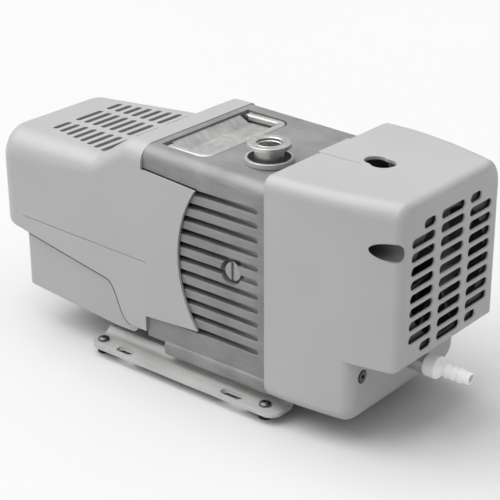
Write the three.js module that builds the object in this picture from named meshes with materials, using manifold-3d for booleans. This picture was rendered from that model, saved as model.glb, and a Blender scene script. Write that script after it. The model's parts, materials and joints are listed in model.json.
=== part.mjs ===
// Air-cooled dry scroll vacuum pump. Millimetres, +Z up, the crankshaft lies along X.
// Origin: middle of the overall length, centre plane of the pump, bottom of the rubber feet.
import * as THREE from "three";
import { mergeVertices } from "three/addons/utils/BufferGeometryUtils.js";
import Module from "manifold-3d";

const wasm = await Module();
wasm.setup();

// ---------- driving dimensions ----------
const gap = 0.3; // clearance between pieces that touch
const axisZ = 98; // height of the crankshaft
const bodyWall = 9.5; // from the scroll's bore to the housing's side
const bodyRise = 71.5; // from the crankshaft up to the housing's top at its left end
const bodyTop = axisZ + bodyRise;

// scrolls
const orbit = 3.2; // crank throw
const wrapThick = 3.2;
const wrapClearance = 0.4; // between the flanks at their closest
const scrollPitch = 2 * (orbit + wrapThick + wrapClearance);
const baseCircle = scrollPitch / (2 * Math.PI);
const wrapStart = 1.9 * Math.PI;
const wrapEnd = 6.2 * Math.PI;
const wrapStep = Math.PI / 9;
const orbitPlateLeft = 46;
const orbitPlateRight = 52;
const orbitPlateRadius = baseCircle * wrapEnd + wrapThick / 2 + 2.2;
const scrollBoreRadius = orbitPlateRadius + orbit + 1.3;
const sealThick = 1.3;
const sealWidth = wrapThick / 2;
const fixedPlateThick = 7.7;
const fixedPlateRadius = scrollBoreRadius + 7;
const fixedFinEnd = 97;
const fixedFinThick = 2.4;
const fixedFinPitch = 11;
const scrollBoltCircle = scrollBoreRadius + 3.5;
const scrollBoltRadius = 2.2;

// half the housing's width, which the covers and the base follow
const bodyHalf = scrollBoreRadius + bodyWall;

// base plate: a folded sheet with a raised middle
const baseLeft = -96;
const baseRight = 78;
const baseOut = 12.5; // how far the plate stands out beside the housing
const baseHalfWidth = bodyHalf + baseOut;
const baseCorner = 9;
const sheet = 3;
const footHeight = 6.5;
const footRadius = 4.8;
const footInset = 9.3; // from the plate's sides to a foot
const footInsetLeft = 6.5; // and from its ends
const footInsetRight = 14.4;
const baseRise = 4.7; // lift of the raised middle
const baseMiddleHalf = bodyHalf - 12;
const slotWidth = 7;
const slotInset = 6.5; // from the plate's side to a slot's middle
const baseSlots = [
  { x: -65, length: 15 },
  { x: 36.5, length: 19 },
];

// pump housing
const housingLeft = -47;
const housingRight = 74;
const housingHalf = bodyHalf;
const housingTopLeft = bodyTop;
const housingFall = 4; // the top slopes down to the right end
const housingTopRight = housingTopLeft - housingFall;
const housingEdge = 9;
const finPitch = 10.3;
const finGroove = 3.6;
const grooveDepth = 5.8;
const grooveCount = 11;
const grooveDrop = 21.9; // from the top down to the middle of the first groove
const grooveRight = 54.5;
const railLeft = -30;
const railTop = 28;
const railOut = 1.4;
const scrollBoreLeft = 30;
const motorBoreRight = 14;

// inlet
const flangeX = 34.5;
const flangeY = -22.5;
const flangeTop = bodyTop + 11.5;
const flangeRadius = 15;
const inletBore = 8;
const neckRadius = 10;
const collarHeight = 4;
const inletPocketRadius = 14.6;
const collarRadius = inletPocketRadius + 2;
const inletPocketFloor = bodyTop - 8.5;

// carrying handle and its recess
const recessLeft = -41;
const recessRight = 0.5;
const recessHalf = bodyHalf - 13.5;
const recessFloor = bodyTop - 7.2;
const recessCorner = 10;
const handleBar = 6;
const handleThick = 4.6;
const handleSide = 1.1; // clearance round the folded handle
const handlePinRadius = 1.5;
const handleFold = 3.2; // pivot to the end of a leg

// shaft and bearings
const shaftRadius = 8.5;
const shaftLeft = -188;
const pinRadius = 7;
const cheekThick = 2.5;
const mainBearingRadius = shaftRadius + 8.5;
const crankBearingRadius = pinRadius + 6;
const hubRadius = crankBearingRadius + 5;
const rearBearingRadius = shaftRadius + 4.5;

// motor
const motorLeft = -150;
const motorRight = -56;
const motorRadius = 42;
const motorBoreRadius = motorRadius + 2;
const motorFlangeRadius = motorRadius + 8;
const motorAir = 8; // room round the motor for the cooling air
const canWall = 2.5;
const rotorRadius = 24;
const statorInner = rotorRadius + 2 * gap;
const coreLeft = -132;
const coreRight = -78;
const windingLength = 11;
const motorFanRadius = motorRadius - 5;
const motorFanLeft = -186;
const motorFanRight = -177;

// cowl over the motor
const cowlLeft = -195;
const cowlSideWall = 2;
const cowlWall = 2.5;
const cowlHalf = housingHalf + gap + cowlSideWall;
const cowlTopLow = axisZ + motorRadius + motorAir + cowlWall;
const cowlTopHigh = housingTopLeft + 0.5;
const rampLow = -97;
const rampHigh = -63;
const cowlEdge = 13;
const cowlEndRadius = 16;
const cowlEndEdge = axisZ + 6; // bottom of the end wall
const cowlSideEdge = axisZ - 20.4; // bottom of the side wall, left, and its fall to the right
const cowlSideFall = 16.9;
const cowlFoot = axisZ - 68; // bottom of the side wall beside the housing
const wingTipX = 2;
const wingBite = 91; // radius of the wing's hollow edge
const wingReach = 52.3; // half the height of that edge
const wingMiddle = axisZ - 0.7;
const cowlSlotCount = 8;
const cowlSlotPitch = 8.75;
const cowlSlotFirst = -161;
const cowlSlotWidth = 4.6;
const cowlSlotSpread = 12; // how much longer the outer slots grow towards the right
const cowlSlotRows = { front: [-34, -16.5], middle: [-10.5, 17], rear: [22.3, 38] };

// electronics tray under the motor
const trayLeft = -171;
const trayRight = -57.5;
const trayTop = axisZ - 18;
const trayBottom = footHeight + 17.5;
const traySlope = 8; // how much higher the bottom is at the left end
const trayWall = 2.5;
const traySlopeEnd = -80;
const socketY = -26;
const socketZ = trayBottom + 25;
const switchY = 14;
const switchZ = trayBottom + 22;
const capacitorY = -40;
const capacitorZ = trayBottom + 22.5;
const capacitorRadius = 12.5;

// fan shroud
const shroudLeft = 66;
const shroudRight = 166;
const shroudStep = 8.5; // how far the shroud stands out over the housing
const shroudHalf = housingHalf + shroudStep;
const shroudHalfEnd = shroudHalf - 12;
const shroudTop = housingTopLeft + shroudStep;
const shroudBottom = footHeight + 12;
const shroudWall = 2.5;
const shroudEdge = 9;
const shroudEndRadius = 6;
const shroudTaperStart = 84;
const notchX = 134; // the lower part ends here
const notchTop = axisZ - 34;
const grilleRows = 10;
const grillePitch = 9.44;
const grilleMiddle = axisZ + 18;
const grilleSlot = 6.2;
const grilleMiddleHalf = 13.5; // half the middle slot's length, then the two ends of an outer one
const grilleInner = 20;
const grilleOuter = 46;
const grilleShort = 33; // where the outer slots of the first and last rows end
const accessRadius = 6;
const accessY = shroudHalfEnd - 1;
const accessZ = shroudTop - 31;
const lowScrewY = housingHalf - 10;
const lowScrewZ = notchTop - 14;
const screwSeat = notchX - 5; // inner face of the screw pockets
const seatThick = 2.5;
const keyholeRadius = 8;
const keyholeLeft = 104.5;
const keyholeRight = 111.5;

// cooling fan
const fanSize = 92;
const fanDepth = 25;
const fanZ = axisZ + 18.5;
const fanBore = fanSize / 2 - 3;
const fanHub = 15;

// exhaust
const exhaustZ = notchTop - 19.5;
const exhaustRadius = 7;
const exhaustBore = 3;
const exhaustDropX = 106;
const barbBase = shroudRight - 11;
const barbTip = barbBase + 30.5;

// ---------- solids ----------
function toSolid(geometry) {
  const bare = geometry.index ? geometry.toNonIndexed() : geometry;
  const positions = new THREE.BufferGeometry();
  positions.setAttribute("position", bare.getAttribute("position"));
  const merged = mergeVertices(positions, 1e-4);
  const vertProperties = new Float32Array(merged.attributes.position.array);
  const triVerts = new Uint32Array(merged.index.array);
  const mesh = new wasm.Mesh({ numProp: 3, vertProperties, triVerts });
  return new wasm.Manifold(mesh);
}

function toGeometry(solid) {
  const mesh = solid.getMesh();
  const geometry = new THREE.BufferGeometry();
  const positions = new Float32Array(mesh.numVert * 3);
  for (let i = 0; i < mesh.numVert; i++) {
    const first = i * mesh.numProp;
    positions.set(mesh.vertProperties.subarray(first, first + 3), i * 3);
  }
  geometry.setAttribute("position", new THREE.BufferAttribute(positions, 3));
  geometry.setIndex(new THREE.BufferAttribute(new Uint32Array(mesh.triVerts), 1));
  geometry.computeVertexNormals();
  return geometry;
}

const join = (solids) => solids.reduce((a, b) => a.add(b));
const cut = (solid, tools) => tools.reduce((a, b) => a.subtract(b), solid);

function box(x, y, z) {
  const size = [x[1] - x[0], y[1] - y[0], z[1] - z[0]];
  const geometry = new THREE.BoxGeometry(...size);
  geometry.translate((x[0] + x[1]) / 2, (y[0] + y[1]) / 2, (z[0] + z[1]) / 2);
  return toSolid(geometry);
}

// A geometry made along its own +Z is turned so that it runs along an axis:
// "x" takes the outline's (u, v) as (y, z), "y" takes it as (x, z), "z" as (x, y).
function turnTo(geometry, axis, from, to) {
  if (axis === "x") {
    geometry.applyMatrix4(new THREE.Matrix4().set(0, 0, 1, from, 1, 0, 0, 0, 0, 1, 0, 0, 0, 0, 0, 1));
  } else if (axis === "y") {
    geometry.applyMatrix4(new THREE.Matrix4().set(1, 0, 0, 0, 0, 0, -1, to, 0, 1, 0, 0, 0, 0, 0, 1));
  } else {
    geometry.translate(0, 0, from);
  }
  return geometry;
}

function prism(shape, axis, from, to, curveSegments = 3) {
  const options = { depth: to - from, bevelEnabled: false, curveSegments };
  return toSolid(turnTo(new THREE.ExtrudeGeometry(shape, options), axis, from, to));
}

function disc(axis, u, v, radius, from, to, segments = 28) {
  const shape = new THREE.Shape();
  for (let i = 0; i < segments; i++) {
    const angle = (2 * Math.PI * i) / segments;
    const point = [u + radius * Math.cos(angle), v + radius * Math.sin(angle)];
    if (i) shape.lineTo(...point);
    else shape.moveTo(...point);
  }
  shape.closePath();
  return prism(shape, axis, from, to);
}

const onAxis = (radius, from, to, segments) => disc("x", 0, axisZ, radius, from, to, segments);

function tube(axis, u, v, outer, inner, from, to, segments) {
  const hole = disc(axis, u, v, inner, from - 1, to + 1, segments);
  return disc(axis, u, v, outer, from, to, segments).subtract(hole);
}

const axisTube = (outer, inner, from, to, segments) =>
  tube("x", 0, axisZ, outer, inner, from, to, segments);

// A turned body about a vertical or an X-wise line; the profile is [radius, distance] pairs.
function turned(profile, axis, place, segments = 28) {
  const points = profile.map(([radius, along]) => new THREE.Vector2(radius, along));
  const geometry = new THREE.LatheGeometry(points, segments);
  geometry.rotateX(Math.PI / 2);
  if (axis === "x") geometry.rotateY(Math.PI / 2);
  geometry.translate(...place);
  return toSolid(geometry);
}

function roundedRect(u0, u1, v0, v1, radius) {
  const shape = new THREE.Shape();
  shape.moveTo(u0 + radius, v0);
  shape.lineTo(u1 - radius, v0);
  shape.absarc(u1 - radius, v0 + radius, radius, -Math.PI / 2, 0);
  shape.lineTo(u1, v1 - radius);
  shape.absarc(u1 - radius, v1 - radius, radius, 0, Math.PI / 2);
  shape.lineTo(u0 + radius, v1);
  shape.absarc(u0 + radius, v1 - radius, radius, Math.PI / 2, Math.PI);
  shape.lineTo(u0, v0 + radius);
  shape.absarc(u0 + radius, v0 + radius, radius, Math.PI, 1.5 * Math.PI);
  return shape;
}

function polygon(points) {
  const shape = new THREE.Shape();
  points.forEach(([u, v], i) => (i ? shape.lineTo(u, v) : shape.moveTo(u, v)));
  shape.closePath();
  return shape;
}

// A body through rounded box sections standing across X, each { x, half, top, bottom, upper, lower }.
const cornerSteps = 3;
function sectionPoints({ half, top, bottom, upper, lower }) {
  const corners = [
    [half - lower, bottom + lower, lower, -Math.PI / 2],
    [half - upper, top - upper, upper, 0],
    [upper - half, top - upper, upper, Math.PI / 2],
    [lower - half, bottom + lower, lower, Math.PI],
  ];
  const points = [];
  for (const [u, v, radius, start] of corners) {
    for (let i = 0; i <= cornerSteps; i++) {
      const angle = start + ((Math.PI / 2) * i) / cornerSteps;
      points.push([u + radius * Math.cos(angle), v + radius * Math.sin(angle)]);
    }
  }
  return points;
}

function loft(sections) {
  const rings = sections.map((section) => sectionPoints(section).map(([y, z]) => [section.x, y, z]));
  const count = rings[0].length;
  const corners = [];
  for (let s = 0; s + 1 < rings.length; s++) {
    for (let i = 0; i < count; i++) {
      const next = (i + 1) % count;
      const [a, b, c, d] = [rings[s][i], rings[s][next], rings[s + 1][next], rings[s + 1][i]];
      corners.push(a, b, c, a, c, d);
    }
  }
  const first = rings[0];
  const last = rings[rings.length - 1];
  for (let i = 1; i + 1 < count; i++) {
    corners.push(first[0], first[i + 1], first[i]);
    corners.push(last[0], last[i], last[i + 1]);
  }
  const geometry = new THREE.BufferGeometry();
  geometry.setAttribute("position", new THREE.Float32BufferAttribute(corners.flat(), 3));
  return toSolid(geometry);
}

// How far a surface has drawn in at a distance from an end that is rounded over.
const roundOver = (radius, distance) =>
  distance >= radius ? 0 : radius - Math.sqrt(radius ** 2 - (radius - distance) ** 2);

// ---------- scene ----------
const parts = new THREE.Group();
parts.position.x = -(cowlLeft + barbTip) / 2;

function material(color, roughness, metalness) {
  return new THREE.MeshStandardMaterial({ color, roughness, metalness });
}
const plastic = () => material(0xc9cac9, 0.5, 0);
const castAluminium = () => material(0xa9aaab, 0.38, 0.9);
const steel = () => material(0x8e9093, 0.3, 1);
const rubber = () => material(0x161616, 0.85, 0);
const blackPlastic = () => material(0x1c1c1e, 0.5, 0);
const copper = () => material(0xb0683a, 0.4, 0.9);

function add(name, solid, look) {
  const mesh = new THREE.Mesh(toGeometry(solid), look);
  mesh.name = name;
  parts.add(mesh);
}

const sides = [-1, 1];

// ---------- base ----------
const plateTop = footHeight + sheet;
const footX = [baseLeft + footInsetLeft, baseRight - footInsetRight];
const footY = baseHalfWidth - footInset;

function buildBase() {
  const bend = baseMiddleHalf + baseRise;
  const inner = [
    [-baseHalfWidth, footHeight],
    [-bend, footHeight],
    [-baseMiddleHalf, footHeight + baseRise],
    [baseMiddleHalf, footHeight + baseRise],
    [bend, footHeight],
    [baseHalfWidth, footHeight],
  ];
  const bendShift = sheet * Math.tan(Math.PI / 8);
  const outer = [
    [baseHalfWidth, plateTop],
    [bend + bendShift, plateTop],
    [baseMiddleHalf + bendShift, plateTop + baseRise],
    [-baseMiddleHalf - bendShift, plateTop + baseRise],
    [-bend - bendShift, plateTop],
    [-baseHalfWidth, plateTop],
  ];
  const folded = prism(polygon([...inner, ...outer]), "x", baseLeft, baseRight);
  const outline = roundedRect(baseLeft, baseRight, -baseHalfWidth, baseHalfWidth, baseCorner);
  let plate = folded.intersect(prism(outline, "z", 0, 30));
  const tools = [];
  for (const side of sides) {
    for (const x of footX) tools.push(disc("z", x, side * footY, 2.6, 0, 30, 16));
    for (const { x, length } of baseSlots) {
      const y = side * (baseHalfWidth - slotInset);
      const [half, across] = [length / 2, slotWidth / 2];
      const slot = roundedRect(x - half, x + half, y - across, y + across, across - 0.01);
      tools.push(prism(slot, "z", 0, 30, 2));
    }
  }
  plate = cut(plate, tools);
  add("base_plate", plate, castAluminium());
}

function buildFeet() {
  let number = 1;
  for (const side of sides) {
    for (const x of footX) {
      const place = [x, side * footY, 0];
      const foot = [[0, 1.6], [1.8, 1.6], [1.8, 0], [footRadius - 0.6, 0], [footRadius, 1.2]];
      const rim = [[footRadius, footHeight - gap], [0, footHeight - gap]];
      const bored = turned([...foot, ...rim], "z", place, 14);
      const hole = disc("z", x, side * footY, 2.1, 2.4, footHeight + 1, 10);
      add("rubber_foot_" + number, bored.subtract(hole), rubber());
      const head = plateTop + gap;
      const screw = [[0, 2.8], [1.8, 2.8], [1.8, head], [4.2, head], [4.2, head + 1.4], [2.6, head + 2.6]];
      const body = turned([...screw, [0, head + 2.6]], "z", place, 12);
      const socket = disc("z", x, side * footY, 1.4, head + 1, head + 4, 6);
      add("foot_screw_" + number, body.subtract(socket), steel());
      number++;
    }
  }
}

// ---------- pump housing ----------
const housingBottom = plateTop + baseRise + gap;
const boltAngles = [0.25, 0.75, 1.25, 1.75].map((turn) => turn * Math.PI);
const boltPlaces = boltAngles.map((angle) => [
  scrollBoltCircle * Math.cos(angle),
  axisZ + scrollBoltCircle * Math.sin(angle),
]);
const pillarPlaces = [
  [-accessY, accessZ],
  [accessY, accessZ],
  [-lowScrewY, lowScrewZ],
  [lowScrewY, lowScrewZ],
];
const plugX = 31.5;
const plugRadius = 7;
const handlePivotX = recessLeft + handleFold + handleSide;
const handlePivotZ = recessFloor + handleFold + 0.4;
const handleHalf = recessHalf - handleSide;

function housingTopAt(x) {
  const share = (x - housingLeft) / (housingRight - housingLeft);
  return housingTopLeft + (housingTopRight - housingTopLeft) * share;
}

function housingGrooves() {
  const grooves = [];
  for (let i = 0; i < grooveCount; i++) {
    const z = housingTopLeft - grooveDrop - i * finPitch;
    for (const side of sides) {
      const y = [side * (housingHalf - grooveDepth), side * (housingHalf + 5)].sort((a, b) => a - b);
      const right = grooveRight - finGroove / 2;
      const long = box([housingLeft + 6, right], y, [z - finGroove / 2, z + finGroove / 2]);
      const end = disc("y", right, z, finGroove / 2, y[0], y[1], 8);
      grooves.push(long.add(end));
    }
  }
  return grooves;
}

function buildHousing() {
  const ends = [housingLeft, housingRight].map((x) => ({
    x,
    half: housingHalf,
    top: housingTopAt(x),
    bottom: railTop - 4,
    upper: housingEdge,
    lower: 3,
  }));
  const rail = roundedRect(-housingHalf - railOut, housingHalf + railOut, housingBottom, railTop, 5);
  const collarTop = housingTopAt(flangeX) + collarHeight;
  let body = join([
    loft(ends),
    prism(rail, "x", railLeft, housingRight, 2),
    disc("z", flangeX, flangeY, collarRadius, recessFloor, collarTop, 28),
  ]);
  body = cut(body, [
    onAxis(scrollBoreRadius, scrollBoreLeft, housingRight + 1, 36),
    onAxis(mainBearingRadius + gap, motorBoreRight - 1, scrollBoreLeft + 1, 32),
    onAxis(motorBoreRadius, housingLeft - 1, motorBoreRight, 32),
    ...housingGrooves(),
  ]);
  const port = disc("z", flangeX, flangeY, inletBore - 1.5, axisZ, 200, 24);
  const pocket = disc("z", flangeX, flangeY, inletPocketRadius, inletPocketFloor, 200, 28);
  const recess = roundedRect(recessLeft, recessRight, -recessHalf, recessHalf, recessCorner);
  const recessBack = box([recessLeft, -20], [-recessHalf, recessHalf], [recessFloor, 200]);
  const underShroud = box([shroudLeft - 0.5, housingRight + 1], [-80, 80], [0, shroudBottom + shroudWall + 1.5]);
  body = cut(body, [port, pocket, prism(recess, "z", recessFloor, 200).add(recessBack), underShroud]);
  const plugPocket = disc("y", plugX, axisZ, plugRadius + 2, -housingHalf - 5, grooveDepth - housingHalf, 24);
  const plugHole = disc("y", plugX, axisZ, 4.2, -housingHalf, 2.5 - scrollBoreRadius - 1, 16);
  body = cut(body, [plugPocket, plugHole]);
  for (const [y, z] of [...boltPlaces, ...pillarPlaces]) {
    body = body.subtract(disc("x", y, z, scrollBoltRadius + gap, housingRight - 14, housingRight + 1, 10));
  }
  for (const side of sides) {
    const reach = [side * (recessHalf - 2), side * (recessHalf + 5)].sort((a, b) => a - b);
    body = body.subtract(disc("y", handlePivotX, handlePivotZ, handlePinRadius + gap, ...reach, 14));
  }
  add("pump_housing", body, castAluminium());
}

function buildSidePlug() {
  const seat = grooveDepth - housingHalf - gap;
  const head = disc("y", plugX, axisZ, plugRadius, seat - 3.6, seat, 28);
  const shank = disc("y", plugX, axisZ, 3.9, seat - 0.1, 2.5 - scrollBoreRadius - 1 - gap, 16);
  const slot = box([plugX - 1, plugX + 1], [seat - 5, seat - 2.6], [axisZ - 4.5, axisZ + 4.5]);
  add("side_port_plug", head.add(shank).subtract(slot), steel());
}

// ---------- inlet ----------
function buildInlet() {
  const foot = inletPocketFloor + gap;
  const lip = flangeTop - 3;
  const outline = [
    [inletBore, foot],
    [neckRadius + 2.4, foot],
    [neckRadius + 2.4, foot + 2],
    [neckRadius, foot + 3.5],
    [neckRadius, lip - 1.3],
    [flangeRadius, lip],
    [flangeRadius, flangeTop],
    [inletBore + 0.6, flangeTop],
    [inletBore + 0.6, flangeTop - 2],
    [inletBore, flangeTop - 2.4],
    [inletBore, foot],
  ];
  const place = [flangeX, flangeY, 0];
  add("inlet_flange", turned(outline, "z", place, 28), castAluminium());
  let screen = disc("z", flangeX, flangeY, inletBore - gap, foot, foot + 1, 24);
  const holes = [[0, 0]];
  for (let i = 0; i < 6; i++) {
    holes.push([4.3 * Math.cos((i * Math.PI) / 3), 4.3 * Math.sin((i * Math.PI) / 3)]);
  }
  for (const [x, y] of holes) {
    screen = screen.subtract(disc("z", flangeX + x, flangeY + y, 1.4, foot - 1, foot + 2, 6));
  }
  add("inlet_screen", screen, steel());
}

// ---------- carrying handle ----------
function buildHandle() {
  const right = recessRight - handleSide;
  const left = handlePivotX;
  const corner = recessCorner - handleSide;
  const low = handlePivotZ - handleThick / 2;
  const high = handlePivotZ + handleThick / 2;
  const outer = roundedRect(left - 30, right, -handleHalf, handleHalf, corner);
  const window = roundedRect(
    left - 40,
    right - handleBar,
    handleBar - handleHalf,
    handleHalf - handleBar,
    corner - handleBar + 2,
  );
  const ring = prism(outer, "z", low, high).subtract(prism(window, "z", low - 1, high + 1));
  let handle = ring.intersect(box([left, right + 1], [-100, 100], [0, 300]));
  for (const side of sides) {
    const span = [side * (handleHalf - handleBar), side * handleHalf].sort((a, b) => a - b);
    handle = handle.add(disc("y", left, handlePivotZ, handleThick / 2, ...span, 20));
    const reach = [span[0] - 1, span[1] + 1];
    handle = handle.subtract(disc("y", left, handlePivotZ, handlePinRadius + gap, ...reach, 14));
  }
  add("carry_handle", handle, castAluminium());
  sides.forEach((side, i) => {
    const inner = handleHalf - handleBar - 0.8;
    const span = [side * inner, side * (recessHalf + 4.5)].sort((a, b) => a - b);
    const pin = disc("y", left, handlePivotZ, handlePinRadius, ...span, 14);
    add("handle_pin_" + (i + 1), pin, steel());
  });
}

// ---------- scrolls ----------
const fixedPlateLeft = housingRight + gap;
const wrapTipGap = sealThick + 2 * gap;

// The spiral's two flanks are involutes of one circle, half the thickness either side.
function spiral(thick, start, end, turn) {
  const flank = (offset) => {
    const points = [];
    for (let angle = start; angle < end + 1e-6; angle += wrapStep) {
      const roll = angle - offset;
      const y = baseCircle * (Math.cos(angle) + roll * Math.sin(angle));
      const z = baseCircle * (Math.sin(angle) - roll * Math.cos(angle));
      points.push([y * Math.cos(turn) - z * Math.sin(turn), y * Math.sin(turn) + z * Math.cos(turn)]);
    }
    return points;
  };
  const half = thick / (2 * baseCircle);
  return [...flank(-half), ...flank(half).reverse()];
}

function spiralPrism(thick, shorter, turn, centre, from, to) {
  const outline = spiral(thick, wrapStart + shorter, wrapEnd - shorter, turn);
  const placed = outline.map(([y, z]) => [y + centre[0], z + centre[1]]);
  return prism(polygon(placed), "x", from, to);
}

function buildFixedScroll() {
  const right = fixedPlateLeft + fixedPlateThick;
  const centre = [0, axisZ];
  const wrapTip = orbitPlateRight + wrapTipGap;
  let scroll = onAxis(fixedPlateRadius, fixedPlateLeft, right, 40);
  scroll = scroll.add(spiralPrism(wrapThick, 0, 0, centre, wrapTip, fixedPlateLeft + 1));
  const reach = scrollBoltCircle - 6.5;
  for (let i = -4; i <= 4; i++) {
    const y = i * fixedFinPitch;
    const half = Math.sqrt(reach ** 2 - y ** 2);
    const thick = fixedFinThick / 2;
    if (i) scroll = scroll.add(box([right - 1, fixedFinEnd], [y - thick, y + thick], [axisZ - half, axisZ + half]));
  }
  const holes = boltPlaces.map(([y, z]) => disc("x", y, z, scrollBoltRadius + gap, 0, right + 1, 14));
  const pillars = pillarPlaces.map(([y, z]) => disc("x", y, z, 4.6, fixedPlateLeft - 1, right + 1, 20));
  const port = onAxis(exhaustBore, 0, right + 1, 20);
  add("fixed_scroll", cut(scroll, [...holes, ...pillars, port]), castAluminium());
  const seal = spiralPrism(sealWidth, wrapStep, 0, centre, orbitPlateRight + gap, wrapTip - gap);
  add("tip_seal_fixed", seal, blackPlastic());
}

function buildOrbitingScroll() {
  const centre = [orbit, axisZ];
  const about = (radius, from, to, segments) => disc("x", ...centre, radius, from, to, segments);
  const wrapTip = fixedPlateLeft - wrapTipGap;
  const hubLeft = scrollBoreLeft + cheekThick + 1.5;
  let scroll = join([
    about(orbitPlateRadius, orbitPlateLeft, orbitPlateRight, 36),
    about(hubRadius, hubLeft, orbitPlateLeft + 1, 28),
    spiralPrism(wrapThick, 0, Math.PI, centre, orbitPlateRight - 1, wrapTip),
  ]);
  scroll = scroll.subtract(about(crankBearingRadius + gap, hubLeft - 1, orbitPlateLeft, 28));
  add("orbiting_scroll", scroll, castAluminium());
  const seal = spiralPrism(sealWidth, wrapStep, Math.PI, centre, wrapTip + gap, fixedPlateLeft - gap);
  add("tip_seal_orbiting", seal, blackPlastic());
  const bearing = tube("x", ...centre, crankBearingRadius, pinRadius + gap, hubLeft + 1, orbitPlateLeft - gap, 28);
  add("crank_bearing", bearing, steel());
}

function buildScrollBolts() {
  const seat = fixedPlateLeft + fixedPlateThick + gap;
  boltPlaces.forEach(([y, z], i) => {
    const shank = disc("x", y, z, scrollBoltRadius, housingRight - 12, seat + 0.5, 10);
    const head = disc("x", y, z, 4.4, seat, seat + 3.6, 6);
    add("scroll_bolt_" + (i + 1), shank.add(head), steel());
  });
}

// ---------- crankshaft and bearings ----------
const rotorLeft = coreLeft + 2;
const rotorRight = coreRight - 2;
const rearBearingLeft = motorLeft - 8;

function buildCrank() {
  const cheekLeft = scrollBoreLeft + gap;
  const shaft = join([
    onAxis(shaftRadius, shaftLeft, cheekLeft + 0.5, 24),
    onAxis(pinRadius + orbit + 1.8, cheekLeft, cheekLeft + cheekThick, 28),
    disc("x", orbit, axisZ, pinRadius, cheekLeft + cheekThick - 0.5, orbitPlateLeft - 1.2, 24),
  ]);
  add("crankshaft", shaft, steel());
  const weight = axisTube(36, shaftRadius + gap, -8, 8, 36);
  const away = box([-20, 20], [4, 60], [axisZ - 60, axisZ + 60]);
  const relief = axisTube(60, 14, -9, 9, 28).intersect(box([-20, 20], [-3, 60], [axisZ - 60, axisZ + 60]));
  add("counterweight", cut(weight, [away.intersect(axisTube(60, 14, -9, 9, 28)), relief]), steel());
  const main = axisTube(mainBearingRadius, shaftRadius + gap, motorBoreRight + 0.6, scrollBoreLeft - 0.6, 32);
  add("main_bearing", main, steel());
  const rear = axisTube(rearBearingRadius, shaftRadius + gap, rearBearingLeft + 1, motorLeft + 3, 28);
  add("rear_bearing", rear, steel());
}

// ---------- motor ----------
function buildMotor() {
  const flangeLeft = motorRight + gap;
  const flangeRight = housingLeft - gap;
  const flange = axisTube(motorFlangeRadius, shaftRadius + 4.5, flangeLeft, flangeRight, 40);
  add("motor_flange", flange, castAluminium());
  const can = axisTube(motorRadius, motorRadius - canWall, motorLeft, motorRight, 32);
  add("motor_can", can, material(0x3a3d40, 0.5, 0.6));
  const coreRadius = motorRadius - canWall - gap;
  add("stator_core", axisTube(coreRadius, statorInner, coreLeft, coreRight, 32), steel());
  const coil = (from, to) => axisTube(coreRadius - 3, statorInner + 2.5, from, to, 28);
  add("stator_winding_left", coil(coreLeft - gap - windingLength, coreLeft - gap), copper());
  add("stator_winding_right", coil(coreRight + gap, coreRight + gap + windingLength), copper());
  add("motor_rotor", axisTube(rotorRadius, shaftRadius + gap, rotorLeft, rotorRight, 28), steel());
  const bellRight = motorLeft - gap;
  const bellLeft = rearBearingLeft;
  const boss = onAxis(rearBearingRadius + 4, bellLeft, motorLeft + 4, 28);
  const bell = onAxis(motorRadius, bellLeft, bellRight, 32).add(boss);
  const seat = onAxis(rearBearingRadius + gap, bellLeft + 1, motorLeft + 5, 28);
  const pass = onAxis(shaftRadius + 1, bellLeft - 1, bellLeft + 2, 24);
  add("motor_end_bell", cut(bell, [seat, pass]), castAluminium());
  buildMotorFan();
}

function buildMotorFan() {
  const hub = axisTube(15, shaftRadius + gap, motorFanLeft, motorFanRight, 28);
  const blade = box([motorFanLeft + 0.5, motorFanRight - 0.5], [-1, 1], [axisZ + 14, axisZ + motorFanRadius]);
  const blades = [];
  const bladeCount = 8;
  for (let i = 0; i < bladeCount; i++) {
    blades.push(blade.translate([0, 0, -axisZ]).rotate([(360 * i) / bladeCount, 0, 0]).translate([0, 0, axisZ]));
  }
  add("motor_fan", join([hub, ...blades]), blackPlastic());
}

// ---------- motor cowl ----------
function cowlTopAt(x) {
  const share = Math.min(1, Math.max(0, (x - rampLow) / (rampHigh - rampLow)));
  return cowlTopLow + (cowlTopHigh - cowlTopLow) * share;
}

// The outer skin with wall 0, the hollow inside it with the wall's thickness.
function cowlBody(sideWall, wall, right) {
  const left = cowlLeft + wall;
  const radius = cowlEndRadius - wall;
  const stations = [0, 1, 2, 3, 4].map((i) => left + radius * (1 - Math.cos((i * Math.PI) / 8)));
  const sections = [...stations, rampLow, rampHigh, right].map((x) => {
    const drawn = roundOver(radius, x - left);
    return {
      x,
      half: cowlHalf - sideWall - drawn,
      top: cowlTopAt(x) - wall - drawn,
      bottom: wall ? 0 : 10,
      upper: cowlEdge - wall,
      lower: 1,
    };
  });
  return loft(sections);
}

function cowlSideOutline() {
  const shape = new THREE.Shape();
  const above = cowlTopHigh + 50;
  const rightEdge = cowlSideEdge - cowlSideFall;
  shape.moveTo(cowlLeft - 5, above);
  shape.lineTo(cowlLeft - 5, cowlEndEdge);
  shape.lineTo(cowlLeft + 0.4, cowlEndEdge);
  shape.quadraticCurveTo(cowlLeft + 3, cowlSideEdge + 2.4, cowlLeft + 15, cowlSideEdge);
  shape.lineTo(rampHigh - 21, rightEdge);
  shape.bezierCurveTo(rampHigh - 11, rightEdge - 2.7, rampHigh - 11, cowlFoot + 3, rampHigh + 1, cowlFoot);
  shape.lineTo(housingLeft + 1, cowlFoot);
  shape.lineTo(housingLeft + 1, above);
  return shape;
}

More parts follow.
